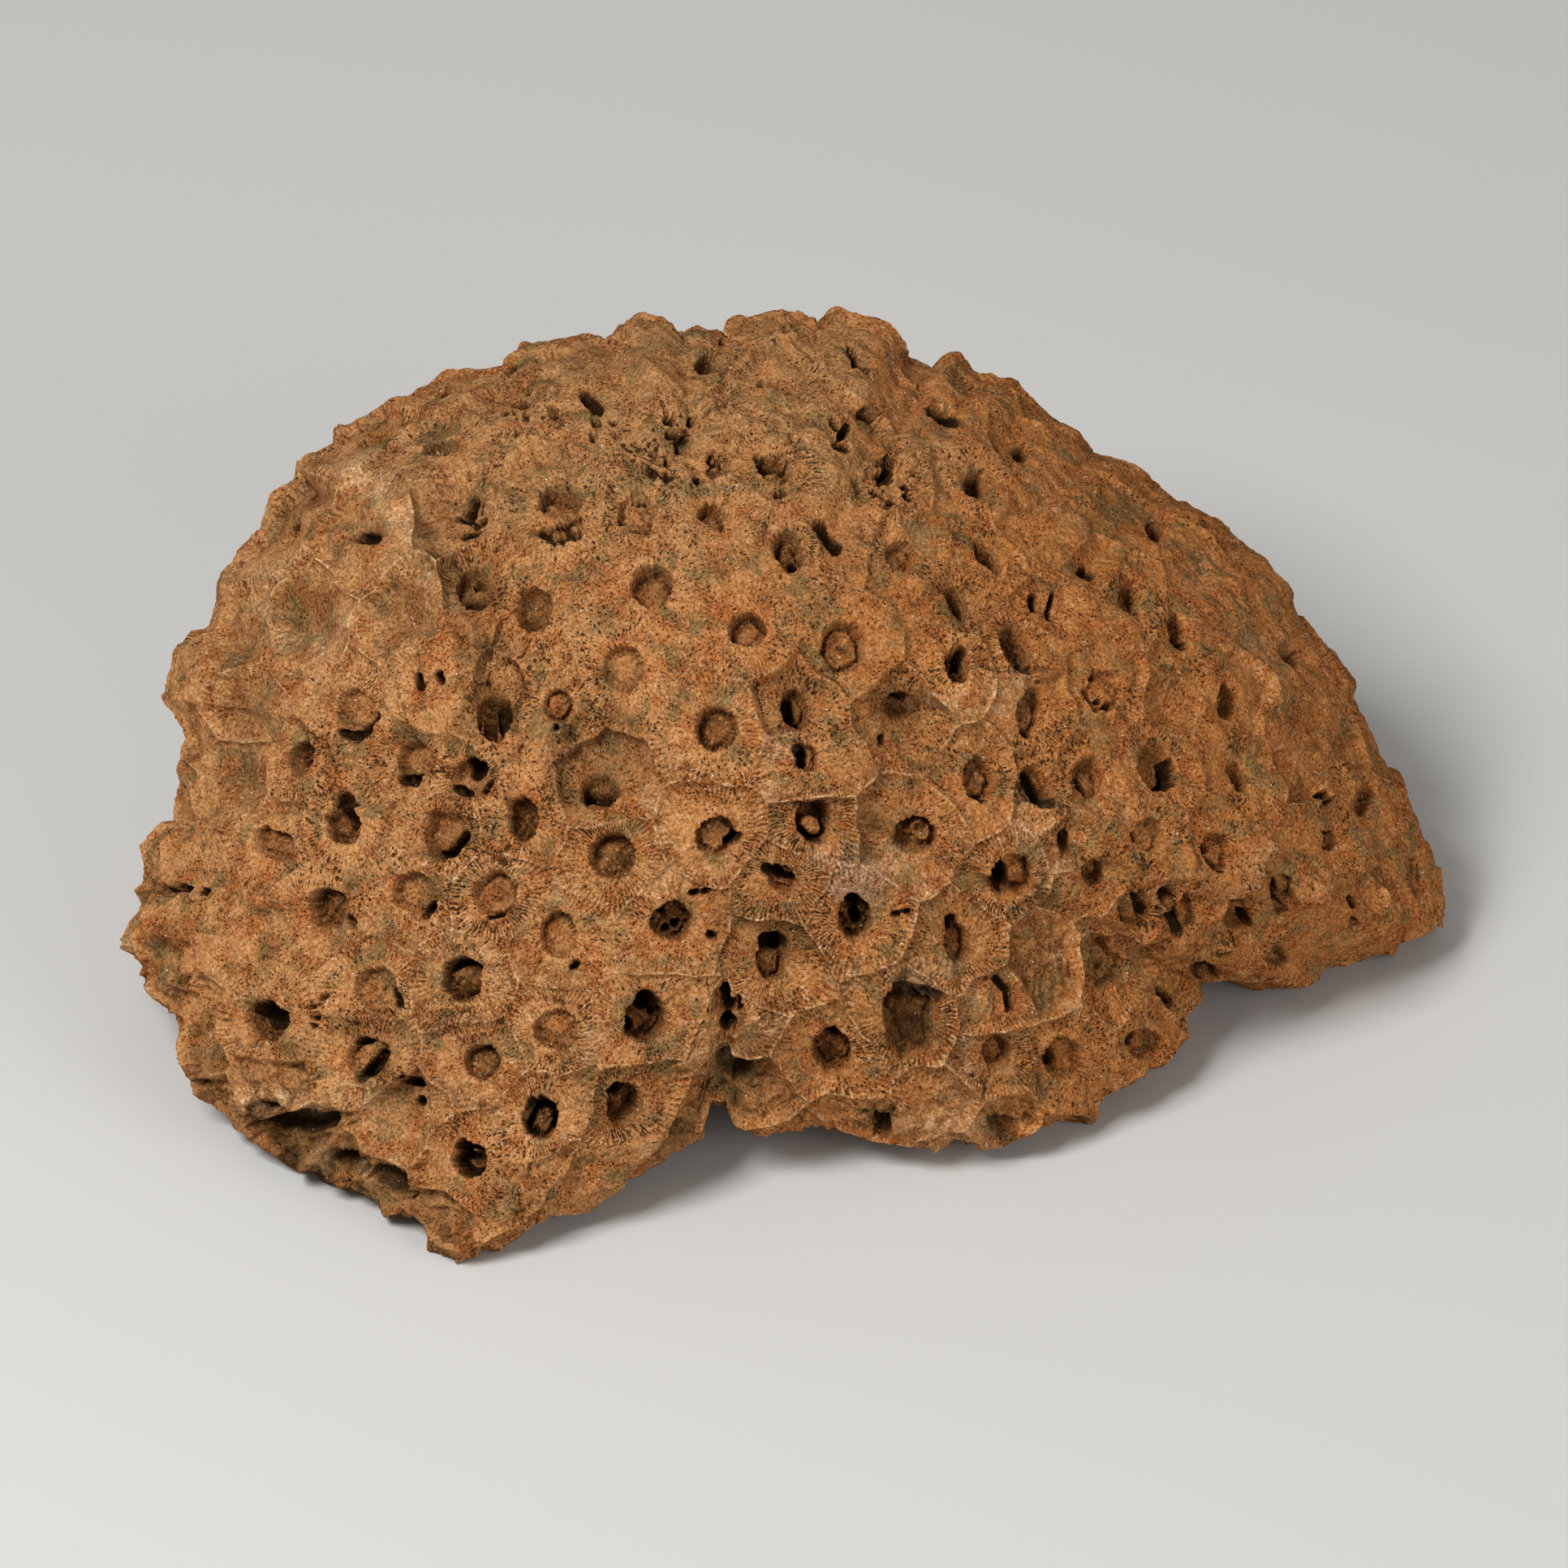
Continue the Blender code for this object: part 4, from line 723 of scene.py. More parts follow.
def cup_surface(cup, ring):
    """One cup as rings from its wall in to its middle: its points, their places in the cup's own plane,
    how deep in shade they lie, how high they stand, the cup's facts, and the turn that its septa start from.

    Each point lies on the line from the middle to a wall point. The height is a bell for the wall, a
    step and a gentle slope over the platform with fine radial ridges and small round pores, a rounded
    lip, a steep drop at the pit's edge, and the floor."""
    chance = np.random.default_rng(SEED + 7 * cup)
    place, seen = cup_middles[cup], cup_seen[cup]
    reach, turn, side = round_a_cup(cup, ring)
    twist = math.atan2(*in_the_view(side)[::-1])
    spot = CUPS_PX[cup][:2] if cup < len(CUPS_PX) else None
    if spot:
        _, _, wide, tall, depth, kind, aim = CUPS_PX[cup]
        across, up = in_the_view(wall_places[ring] - place)
        slant = math.radians(aim) if kind in ("floor", "open", "worn") else 0.0
        across, up = (across * math.cos(slant) + up * math.sin(slant),
                      up * math.cos(slant) - across * math.sin(slant))
        lip = reach * MM_PER_PX / np.maximum(np.hypot(2.0 * across / wide, 2.0 * up / tall), 1e-6)
        aim_turn = aim - math.degrees(twist)
    else:
        depth = chance.uniform(*SPARE_DEPTHS)
        kind = chance.choice(SPARE_KINDS)
        aim_turn = chance.uniform(-180.0, 180.0)
        oval = 1.0 + chance.uniform(0.0, 0.25) * np.cos(2.0 * (turn - chance.uniform(0.0, 3.1)))
        lip = chance.uniform(*SPARE_LIPS) * oval
    phase = chance.uniform(0.0, 6.3)
    teeth = chance.integers(22, 30)
    ragged = 0.022 * np.cos(teeth * turn) * (1.0 + 0.8 * np.sin(4.0 * turn + phase))
    for lobes in (3, 5, 8, 13):
        ragged += chance.uniform(0.01, 0.032) * np.sin(lobes * turn + chance.uniform(0.0, 6.3))
    widest = WIDEST_SHELF_LIP if kind == "shelf" else WIDEST_LIP
    even_lip = np.clip(lip, LEAST_LIP, (widest - 0.02) * reach)
    lip = np.clip(lip * (1.0 + ragged), LEAST_LIP, widest * reach)
    gap = reach - lip
    wall = np.minimum(1.0, gap / WHOLE_PLATFORM)
    wall_rings, steps, pit_rings = SEEN_RINGS if seen else HIDDEN_RINGS
    rows = [reach - wall * width for width in wall_rings]
    inner = lip + 0.12 * wall
    rows += [rows[-1] * (1.0 - share) + inner * share for share in np.linspace(0.0, 1.0, steps + 1)[1:]]
    rows += [share * (even_lip + (lip - even_lip) * smooth(share, 0.70, 1.0)) for share in pit_rings]
    rows = np.array(rows)
    apart = reach - rows
    base, normals = part_way(cup, ring, rows / reach)
    x = rows * np.cos(turn)
    y = rows * np.sin(turn)
    slope = np.clip(apart / np.maximum(gap, 1e-6), 0.0, 1.0)
    crisp = float(crispness(place))
    blunt = 1.0 - crisp
    sunk = chance.uniform(0.0, 0.65) * crisp
    bowl = chance.uniform(-0.45, 0.9) * (1.0 - 0.6 * blunt)
    lean = chance.normal(0.0, 0.10, 2) * (1.0 - 0.6 * blunt)
    rayed = float(chance.uniform() ** 3 * 0.7)
    if spot in PLATFORMS:
        sunk, bowl, steepness, fall = PLATFORMS[spot]
        fall = math.radians(fall) - twist
        lean = -steepness * np.array((math.cos(fall), math.sin(fall)))
    if spot in RAYED_PX:
        rayed = 1.0
    height = wall_lift[ring] * np.exp(-(apart / wall_breadth[ring]) ** 2)
    height = height - sunk * smooth(apart, 0.05, 0.7 + 1.2 * blunt) - bowl * slope ** 1.3
    height += (lean[0] * x + lean[1] * y) * smooth(apart, 0.1, 1.2)
    strength = smooth(apart, 0.15, 0.5) * (1.0 - 0.6 * smooth(slope, 0.35, 0.8))
    strength *= smooth(rows - lip, -0.25, 0.05) * (kind != "worn")
    height += (0.02 + 0.05 * rayed) * strength * np.cos(SEPTA * (turn + phase))
    beyond = np.maximum(rows - lip, 0.0)
    height += COLLARS.get(spot, 0.0) * np.exp(-((beyond - 0.45) / 0.32) ** 2) * (rows > lip)
    height -= (0.10 + 0.22 * blunt) * np.exp(-beyond / (0.18 + 0.4 * blunt))
    if seen:
        porosity = max(LEAST_POROSITY, float(bells(place, POROUS_PX)))
        height -= platform_pores(x, y, turn, lip, reach, porosity, phase, chance)
    deep = rows / lip
    inside = within(deep, 0.6 if kind == "worn" else 0.90, 1.0)
    local = np.clip(deep, 0.0, 1.0)
    floor = pit_floor(kind, aim_turn, local, local * np.cos(turn), local * np.sin(turn), depth, chance)
    opened = cuts_into(base) if seen else np.zeros(rows.shape)
    places = raised(base, normals, height - opened - inside * floor)
    cosine, sine = math.cos(phase), math.sin(phase)
    plane = np.stack((x * cosine - y * sine, x * sine + y * cosine), axis=2)
    facts = (rayed, 0.6 if kind == "worn" else 0.0)
    shaded = np.maximum(inside * floor, CUP_CUT_SHADE * smooth(opened, 0.15, 0.9))
    return places, plane, shaded, height, facts, phase


def broken_surface(cup, ring):
    """A broken face, with all that cup_surface gives: the body stepped down inside its edge, and rough."""
    chance = np.random.default_rng(SEED + 7 * cup)
    reach, _, side = round_a_cup(cup, ring)
    share = np.linspace(1.0, 0.0, 16 if cup_seen[cup] else 8)[1:-1, None] * np.ones(len(ring))
    base, normals = part_way(cup, ring, share)
    apart = reach * (1.0 - share)
    rough = 0.40 * np.abs(ripple(base, 2.6, 41)) + 0.14 * ripple(base, 1.0, 42)
    height = wall_lift[ring] * np.exp(-(apart / wall_breadth[ring]) ** 2)
    height -= smooth(apart, 0.0, 1.2) * (chance.uniform(0.2, 1.4) + rough)
    opened = cuts_into(base) * cup_seen[cup]
    places = raised(base, normals, height - opened)
    offsets = base - cup_middles[cup]
    plane = np.stack((offsets @ side, offsets @ np.cross(cup_normals[cup], side)), axis=2)
    shaded = np.maximum(-0.2 * height, BROKEN_CUT_SHADE * smooth(opened, 0.15, 1.0))
    return places, plane, shaded, height, (0.0, 1.0), 0.0


# The colony's skin. It is made in several closed pieces that meet on the crests of the walls, and each is
# closed behind by its own inner skin. Everything below the ground is drawn in to the flat base.
INNER_SHARE = 0.72
PATCHES = ("left_foot", "left_brow", "left_middle_foot", "left_middle_brow", "right_middle_foot",
           "right_middle_brow", "right_foot", "right_brow", "back", "underside")
# Where the four columns of the front meet, and how far above the heart each is split in two
COLUMN_EDGES = (-34.0, 2.0, 36.0)
ROW_EDGES = (0.0, 0.0, 8.0, 4.0)
BACK, UNDERSIDE = 8, 9
# How far a cup's normal may lean down: beyond the first it belongs to the underside, beyond the second
# it hangs over and is a broken face
LEAN_UNDER, LEAN_BROKEN = -0.05, -0.12
# Only what lies nearer than this, in millimetres, is in view. Hollows get painted shade and grime by their
# depth.
FRONT_LIMIT = 30.0
HOLLOW_SHADE_AND_GRIME_PER_MM = -0.09
# Where grime and painted shade lie dark in hollows and under the broken lip: place, radius in pixels, strength
GRIME_AND_SHADE_PX = (
    (705, 905, 24, 1.0), (698, 931, 20, 0.9), (748, 878, 28, 0.4), (825, 947, 16, 0.5), (975, 1139, 28, 0.7),
    (909, 1112, 18, 0.4), (917, 1320, 36, 0.9), (905, 1358, 22, 0.9), (832, 1397, 24, 0.7),
    (855, 1374, 20, 0.6), (1082, 955, 14, 0.9), (1078, 1012, 18, 0.9), (1075, 1051, 14, 0.7),
    (1086, 866, 14, 0.6), (1136, 947, 16, 0.6), (1125, 962, 12, 0.9), (971, 966, 12, 0.6), (690, 843, 16, 0.6),
    (1148, 1116, 20, 0.6), (1113, 1205, 16, 1.0), (1240, 1193, 24, 0.5), (1271, 1181, 34, 0.5),
    (1086, 1370, 16, 1.0), (1232, 1389, 16, 1.0), (1286, 1297, 14, 0.6), (782, 1189, 16, 0.5),
    (848, 1316, 14, 0.4), (417, 1161, 12, 0.6), (506, 1161, 16, 0.5), (491, 1147, 16, 0.5),
    (498, 1265, 18, 0.8), (432, 1265, 16, 0.8), (273, 1317, 14, 0.7), (291, 1332, 12, 0.6),
    (435, 1424, 24, 0.8), (410, 1436, 18, 1.0), (476, 1447, 20, 1.0), (498, 1458, 20, 1.0),
    (347, 1400, 30, 1.0), (321, 1376, 18, 1.0), (390, 1402, 24, 0.9), (300, 1384, 14, 0.8),
    (447, 1472, 18, 0.8), (513, 1487, 18, 0.8), (532, 1506, 16, 0.8), (202, 1154, 14, 0.8),
    (217, 1217, 12, 0.8), (239, 1298, 14, 0.7), (247, 1332, 14, 0.8), (639, 1487, 22, 0.4),
    (617, 1465, 18, 0.5), (487, 1321, 16, 0.6), (402, 1354, 10, 0.6), (526, 662, 18, 0.9), (533, 688, 18, 0.9),
    (515, 640, 14, 0.7), (600, 799, 22, 0.9), (593, 777, 16, 0.6), (604, 855, 22, 0.7), (611, 881, 18, 0.7),
    (681, 921, 16, 0.7), (707, 910, 22, 0.8), (693, 977, 18, 0.8), (407, 855, 18, 0.5), (474, 740, 18, 0.4),
    (385, 559, 18, 0.5), (407, 562, 18, 0.4), (1122, 950, 18, 0.6), (980, 852, 20, 0.5), (1486, 1196, 18, 0.6),
    (190, 1195, 18, 0.5), (1385, 620, 30, 0.4), (1340, 640, 30, 0.3), (1585, 880, 22, 0.4),
    (1600, 960, 20, 0.4), (1330, 975, 16, 0.4), (1500, 770, 26, 0.3), (1290, 1195, 24, 0.4),
    (360, 1425, 30, 1.15), (400, 1450, 26, 1.15), (445, 1490, 24, 1.1), (490, 1515, 22, 1.0),
    (540, 1535, 18, 0.7), (690, 960, 18, 0.7), (575, 705, 22, 0.6), (590, 745, 22, 0.6), (1120, 965, 18, 0.9),
    (1120, 1262, 36, 1.1), (560, 520, 60, 0.25), (640, 450, 60, 0.35), (720, 425, 60, 0.3), (800, 420, 60, 0.2),
    (470, 560, 50, 0.25),
)
# Places where handling has rubbed the stone pale, and crests and edges painted pale as a highlight: place,
# radius in pixels, strength
WEAR_AND_HIGHLIGHT_PX = (
    (440, 582, 22, 0.8), (468, 606, 20, 1.0), (498, 634, 16, 1.0), (508, 668, 12, 0.9), (530, 712, 12, 0.8),
    (556, 745, 12, 0.8), (303, 700, 14, 0.7), (322, 745, 14, 0.7), (348, 788, 16, 0.8), (400, 800, 20, 0.8),
    (425, 765, 14, 0.7), (300, 1353, 14, 1.4), (325, 1356, 12, 1.4), (348, 1350, 12, 1.4), (375, 1360, 12, 1.3),
    (392, 1366, 10, 1.3), (392, 1368, 10, 0.9), (430, 1345, 22, 0.7), (455, 1352, 18, 0.8),
    (398, 1422, 14, 0.9), (450, 1440, 10, 0.7), (490, 1432, 14, 0.6), (1185, 1385, 34, 0.9),
    (1155, 1389, 26, 1.0), (1117, 1385, 16, 0.8), (1230, 860, 22, 0.7), (1095, 1065, 20, 0.8),
    (1078, 1074, 14, 0.9), (820, 1075, 14, 0.7), (805, 985, 12, 0.8), (832, 931, 10, 0.8), (959, 920, 16, 0.8),
    (948, 974, 12, 0.7), (1013, 1058, 14, 0.8), (1136, 1097, 12, 0.8), (1263, 1020, 28, 0.6),
    (1294, 1074, 16, 0.7), (951, 1266, 12, 0.9), (901, 1301, 14, 0.9), (732, 1274, 12, 0.8),
    (725, 1305, 10, 0.8), (871, 1293, 14, 0.9), (1178, 1316, 22, 0.6), (1190, 1285, 12, 0.8),
    (1325, 1239, 8, 1.0), (1301, 1181, 8, 0.9), (1048, 1205, 14, 0.6), (1194, 881, 10, 0.8),
    (1171, 866, 12, 0.8), (1255, 843, 10, 0.8), (1198, 1224, 18, 0.5), (1159, 1189, 16, 0.7),
    (1135, 1204, 18, 0.8), (1478, 712, 14, 0.6), (1053, 480, 7, 1.6), (150, 1166, 12, 0.9), (700, 415, 20, 0.4),
    (860, 1300, 18, 0.6), (485, 640, 10, 1.0), (503, 655, 8, 1.0), (560, 1180, 26, 0.4), (1390, 1000, 30, 0.3),
    (1560, 800, 40, 0.3),
)


def onto_ground(points):
    """Points below the ground moved to it along lines to the heart: a share of height over height."""
    share = HEART[2] / (HEART[2] - np.minimum(points[:, 2], 0.0))
    return HEART + (points - HEART) * share[:, None]


def patch_of(cup):
    """Number of the patch that a cup belongs to: four columns of two in front, the back and the underside."""
    if cup_directions[cup][2] > 0.0:
        column = int(np.searchsorted(COLUMN_EDGES, cup_middles[cup][0]))
        _, up = in_the_view(cup_middles[cup] - HEART)
        return 2 * column + int(up > ROW_EDGES[column])
    return BACK if cup_normals[cup][2] > LEAN_UNDER else UNDERSIDE


def is_broken(cup):
    """True where a cup is a broken face: listed so, a knob, low down, or under an overhang."""
    low = cup_middles[cup][2] < LOWEST_CUP
    hangs_over = cup_normals[cup][2] < LEAN_BROKEN
    return low or len(CUPS_PX) <= cup < len(set_by_hand) or (cup >= len(set_by_hand) and hangs_over)


def numbered(pairs, count):
    """One number for each pair of points, whichever of the two comes first."""
    return np.sort(pairs, axis=1).astype(np.int64) @ np.array((count, 1))


def build_patch(name, cups):
    """One closed patch: every cup's rings and middle, side walls at its border and an inner skin."""
    used = np.unique(np.concatenate([ring_of(cup) for cup in cups]))
    local = np.full(len(wall_crest), -1)
    local[used] = np.arange(len(used))
    points, walls = [], []
    layers = {"shade_depth_mm": [], "from_wall_mm": [], "stand_mm": []}
    faces, face_places, face_facts = ({4: [], 3: []} for _ in range(3))

    def add(places, depth=0.0, from_wall=0.0, stand=0.0):
        """Points put at the end of the patch, with their value in each layer; gives the first one's number."""
        first = sum(len(part) for part in points)
        points.append(places.reshape(-1, 3))
        for layer, values in zip(layers.values(), (depth, from_wall, stand)):
            layer.append(np.broadcast_to(np.ravel(values), len(points[-1])))
        return first

    def join(corners, places=(0.0, 0.0), facts=(1.0, 1.0)):
        """Faces of three or four corners, with their corners' places in the cup and the facts of the cup."""
        sides = corners.shape[1]
        faces[sides].append(corners)
        face_places[sides].append(np.broadcast_to(places, corners.shape + (2,)).reshape(-1, 2))
        face_facts[sides].append(np.broadcast_to(facts, (corners.size, 2)))

    add(wall_crest[used], stand=wall_lift[used])
    for cup in cups:
        ring = ring_of(cup)
        reach, turn, _ = round_a_cup(cup, ring)
        surface = broken_surface if is_broken(cup) else cup_surface
        # depth here is how deep in painted shade each point lies
        places, plane, depth, stand, facts, phase = surface(cup, ring)
        first = add(places, depth, reach - np.linalg.norm(plane, axis=2), stand)
        add(places[-1].mean(axis=0), depth[-1].mean(), reach.mean(), stand[-1].mean())
        edge = reach[:, None] * np.column_stack((np.cos(turn + phase), np.sin(turn + phase)))
        flat = np.vstack((edge, plane.reshape(-1, 2), (0.0, 0.0)))
        numbers = np.concatenate((local[ring], first + np.arange(len(flat) - len(ring))))
        grid = np.arange(len(flat) - 1).reshape(-1, len(ring))
        beside = np.roll(grid, -1, axis=1)
        between_rings = np.stack((grid[:-1], beside[:-1], beside[1:], grid[1:]), axis=2).reshape(-1, 4)
        round_middle = np.stack((grid[-1], beside[-1], np.full(len(ring), grid.size)), axis=1)
        for corners in (between_rings, round_middle):
            join(numbers[corners], flat[corners], facts)
        walls.append(np.stack((ring, np.roll(ring, -1)), axis=1))
    inner = add(HEART + (wall_crest[used] - HEART) * INNER_SHARE)
    for cup in cups:
        ring = inner + local[ring_of(cup)]
        middle = add(HEART + (cup_middles[cup] - HEART) * INNER_SHARE)
        join(np.stack((np.roll(ring, -1), ring, np.full(len(ring), middle)), axis=1))
    walls = np.vstack(walls)
    wall_numbers = numbered(walls, len(wall_crest))
    numbers, uses = np.unique(wall_numbers, return_counts=True)
    border = local[walls[np.isin(wall_numbers, numbers[uses == 1])]]
    join(np.hstack((border[:, ::-1], inner + border)))

    points = onto_ground(np.vstack(points))
    in_front = points[:, 1] < FRONT_LIMIT
    # The relief's hollows get painted shade and grime, darker the deeper they are
    hollows = [(x, y, radius, HOLLOW_SHADE_AND_GRIME_PER_MM * height) for x, y, radius, height in RELIEF_PX if height < 0.0]
    layers = {label: np.concatenate(parts) for label, parts in layers.items()}
    layers["crisp"] = crispness(points)
    layers["wear_and_highlight"] = bells(points, WEAR_AND_HIGHLIGHT_PX) * in_front
    layers["grime_and_shade"] = np.maximum(bells(points, GRIME_AND_SHADE_PX), bells(points, hollows)) * in_front
    layers["porous"] = bells(points, POROUS_PX)
    mesh = bpy.data.meshes.new(name)
    faces = np.vstack(faces[4]).tolist() + np.vstack(faces[3]).tolist()
    mesh.from_pydata(points * 0.001, [], faces, shade_flat=False)
    for label, parts, scale in (("cup_place", face_places, 0.1), ("cup_facts", face_facts, 1.0)):
        values = np.vstack(parts[4] + parts[3]) * scale
        mesh.uv_layers.new(name=label).data.foreach_set("uv", values.astype(np.float32).ravel())
    for label, values in layers.items():
        mesh.attributes.new(label, "FLOAT", "POINT").data.foreach_set("value", values.astype(np.float32))
    ends = np.empty(len(mesh.edges) * 2, dtype=np.int32)
    mesh.edges.foreach_get("vertices", ends)
    marks = np.isin(numbered(ends.reshape(-1, 2), len(points)), numbered(border, len(points)))
    mesh.attributes.new("sharp_edge", "BOOLEAN", "EDGE").data.foreach_set("value", marks)
    mesh.validate()
    piece = bpy.data.objects.new(name, mesh)
    bpy.context.scene.collection.objects.link(piece)
    return piece


# The stone is limestone stained by iron, from tan on the worn crests to rust brown, and olive where grime lies
# in the hollows, which also get painted shade. Pits, cuts and pores are painted dark as shade, and lit crests
# and edges get painted highlights and glints. It is matt and full of fine pores, which lie in rays between the
# septa.
stone = bpy.data.materials.new("iron_stained_limestone_finish")
stone.use_nodes = True
RUST = (0.345, 0.128, 0.031, 1.0)
TAN = (0.425, 0.196, 0.066, 1.0)
RED_BROWN = (0.310, 0.094, 0.022, 1.0)
PALE_CREST = (0.580, 0.350, 0.160, 1.0)
OLIVE = (0.155, 0.098, 0.034, 1.0)
OLIVE_TAN_TOP = (0.345, 0.205, 0.082, 1.0)
SHADED = (0.088, 0.044, 0.013, 1.0)
DEEP_BROWN = (0.120, 0.039, 0.008, 1.0)
NEAR_BLACK = (0.018, 0.009, 0.003, 1.0)
GREY_MAUVE = (0.270, 0.180, 0.112, 1.0)
DARK_GRAIN = (0.55, 0.43, 0.18, 1.0)
PALE_GRAIN = (1.34, 1.50, 1.95, 1.0)
WHITE_GLINT = (0.780, 0.700, 0.580, 1.0)
STAIN_PLACE_PX = (1055, 1080)


def put(kind, sockets, **settings):
    """A shader node with its settings made and its sockets linked to other nodes or filled with values."""
    node = stone.node_tree.nodes.new(kind)
    for label, value in settings.items():
        setattr(node, label, value)
    for label, value in sockets.items():
        socket = node.inputs[label]
        if isinstance(value, bpy.types.NodeSocket):
            stone.node_tree.links.new(value, socket)
        else:
            socket.default_value = value
    return node


def sum_up(operation, *values):
    """The result of one sum on one, two or three values."""
    return put("ShaderNodeMath", dict(enumerate(values)), operation=operation).outputs[0]


def between(value, low, high, smallest=0.0, largest=1.0):
    """A value's S-shaped rise from smallest to largest as it goes from low to high."""
    sockets = {"Value": value, "From Min": low, "From Max": high, "To Min": smallest, "To Max": largest}
    return put("ShaderNodeMapRange", sockets, interpolation_type="SMOOTHSTEP").outputs["Result"]


def times(*values):
    """The product of two or more values."""
    total = values[0]
    for value in values[1:]:
        total = sum_up("MULTIPLY", total, value)
    return total


def most(*values):
    """The largest of two or more values."""
    largest = values[0]
    for value in values[1:]:
        largest = sum_up("MAXIMUM", largest, value)
    return largest


def tint(share, under, over, blend="MIX"):
    """Two colours mixed by a share. The mixing node's colours are its sockets 6 and 7."""
    return put("ShaderNodeMix", {0: share, 6: under, 7: over}, data_type="RGBA", blend_type=blend).outputs[2]


def stored(label):
    """A value that the skin's points hold under this label."""
    return put("ShaderNodeAttribute", {}, attribute_name=label).outputs["Fac"]


def cloud(places, scale, detail=4.0, roughness=0.55):
    """Soft noise with this many swirls to the millimetre."""
    sockets = {"Vector": places, "Scale": scale, "Detail": detail, "Roughness": roughness}
    return put("ShaderNodeTexNoise", sockets).outputs["Fac"]


object_place = put("ShaderNodeTexCoord", {}).outputs["Object"]
in_mm = put("ShaderNodeVectorMath", {0: object_place, 3: 1000.0}, operation="SCALE").outputs[0]
across_mm, _, up_mm = put("ShaderNodeSeparateXYZ", {0: in_mm}).outputs
shade_depth_mm, from_wall, stand = stored("shade_depth_mm"), stored("from_wall_mm"), stored("stand_mm")
crisp, wear_and_highlight, grime_and_shade, porous = stored("crisp"), stored("wear_and_highlight"), stored("grime_and_shade"), stored("porous")
(across_cup, up_cup), (cup_rays, cup_wear) = (
    put("ShaderNodeSeparateXYZ", {0: put("ShaderNodeUVMap", {}, uv_map=label).outputs[0]}).outputs[:2]
    for label in ("cup_place", "cup_facts"))
across_cup, up_cup = times(across_cup, 10.0), times(up_cup, 10.0)
cup_turn = sum_up("ARCTAN2", up_cup, across_cup)
from_middle = sum_up("SQRT", sum_up("ADD", times(across_cup, across_cup), times(up_cup, up_cup)))
outside_pit = between(shade_depth_mm, 0.75, 0.35)
on_platform = times(between(cup_wear, 0.9, 0.3), outside_pit)
patchy = cloud(in_mm, 0.30, 4.0, 0.62)
regions = cloud(in_mm, 0.13, 3.0, 0.6)
crumbs = cloud(in_mm, 0.85, 3.0, 0.65)
grain = cloud(in_mm, 2.6, 4.0, 0.74)
broad = cloud(in_mm, 0.055, 2.0)
shaken = put("ShaderNodeTexNoise", {"Vector": in_mm, "Scale": 1.6, "Detail": 2.0, "Roughness": 0.6})


def round_the_cup(number, rows):
    """Places on a cylinder round a cup: its turn, as wide as a number of cells, and rows from its middle."""
    return put("ShaderNodeCombineXYZ", {
        0: times(sum_up("COSINE", cup_turn), number), 1: times(sum_up("SINE", cup_turn), number),
        2: sum_up("MULTIPLY_ADD", from_middle, rows, times(cup_rays, 90.0))}).outputs[0]


def bent(places, amounts):
    """Places moved by soft noise, as far as the amounts along the three axes."""
    sockets = {0: shaken.outputs["Color"], 1: amounts, 2: places}
    return put("ShaderNodeVectorMath", sockets, operation="MULTIPLY_ADD").outputs[0]


def cells(places, scale, randomness, channel):
    """How far each place is from the middle of its cell, and the cell's random number from one channel."""
    node = put("ShaderNodeTexVoronoi", {"Vector": places, "Scale": scale, "Randomness": randomness})
    return node.outputs["Distance"], put("ShaderNodeSeparateColor", {0: node.outputs["Color"]}).outputs[channel]


def round_pores(size, apart, edge):
    """One within a size of the cells' middles and zero outside, with a soft edge."""
    return between(sum_up("SUBTRACT", size, apart), 0.0, edge)


# Rays of pores: cells round a cylinder whose turn counts the gaps between the septa, bent by noise
ray_place = bent(round_the_cup(13.0, 1.9), (1.0, 1.0, 1.5))
ray_apart, ray_odds = cells(ray_place, 1.0, 0.85, 0)
ray_size = times(between(ray_odds, 0.05, 0.90, 0.0, 0.66), between(from_middle, 3.0, 6.5, 1.0, 0.60),
                 most(between(regions, 0.40, 0.58, 0.45, 1.0), porous), between(from_wall, 3.4, 1.0, 0.55, 1.0))
ray_pores = times(round_pores(ray_size, ray_apart, 0.14), on_platform)

# Fine pores everywhere, and coarse nets of pores where the stone is most porous
any_place = bent(in_mm, (0.5, 0.5, 0.5))
netted = between(porous, 0.90, 1.25)
any_apart, any_odds = cells(any_place, 4.2, 1.0, 1)
any_size = times(between(any_odds, 0.42, 1.0, 0.0, 0.59), between(patchy, 0.36, 0.58, 0.45, 1.0))
any_size = sum_up("MULTIPLY_ADD", times(between(porous, 0.0, 1.0), any_odds), 0.22, any_size)
any_pores = round_pores(times(any_size, between(netted, 0.0, 1.0, 1.0, 0.35)), any_apart, 0.20)
net_apart, net_odds = cells(any_place, 1.0, 0.85, 1)
net_pores = round_pores(times(between(net_odds, 0.10, 0.60, 0.0, 0.44), netted), net_apart, 0.12)

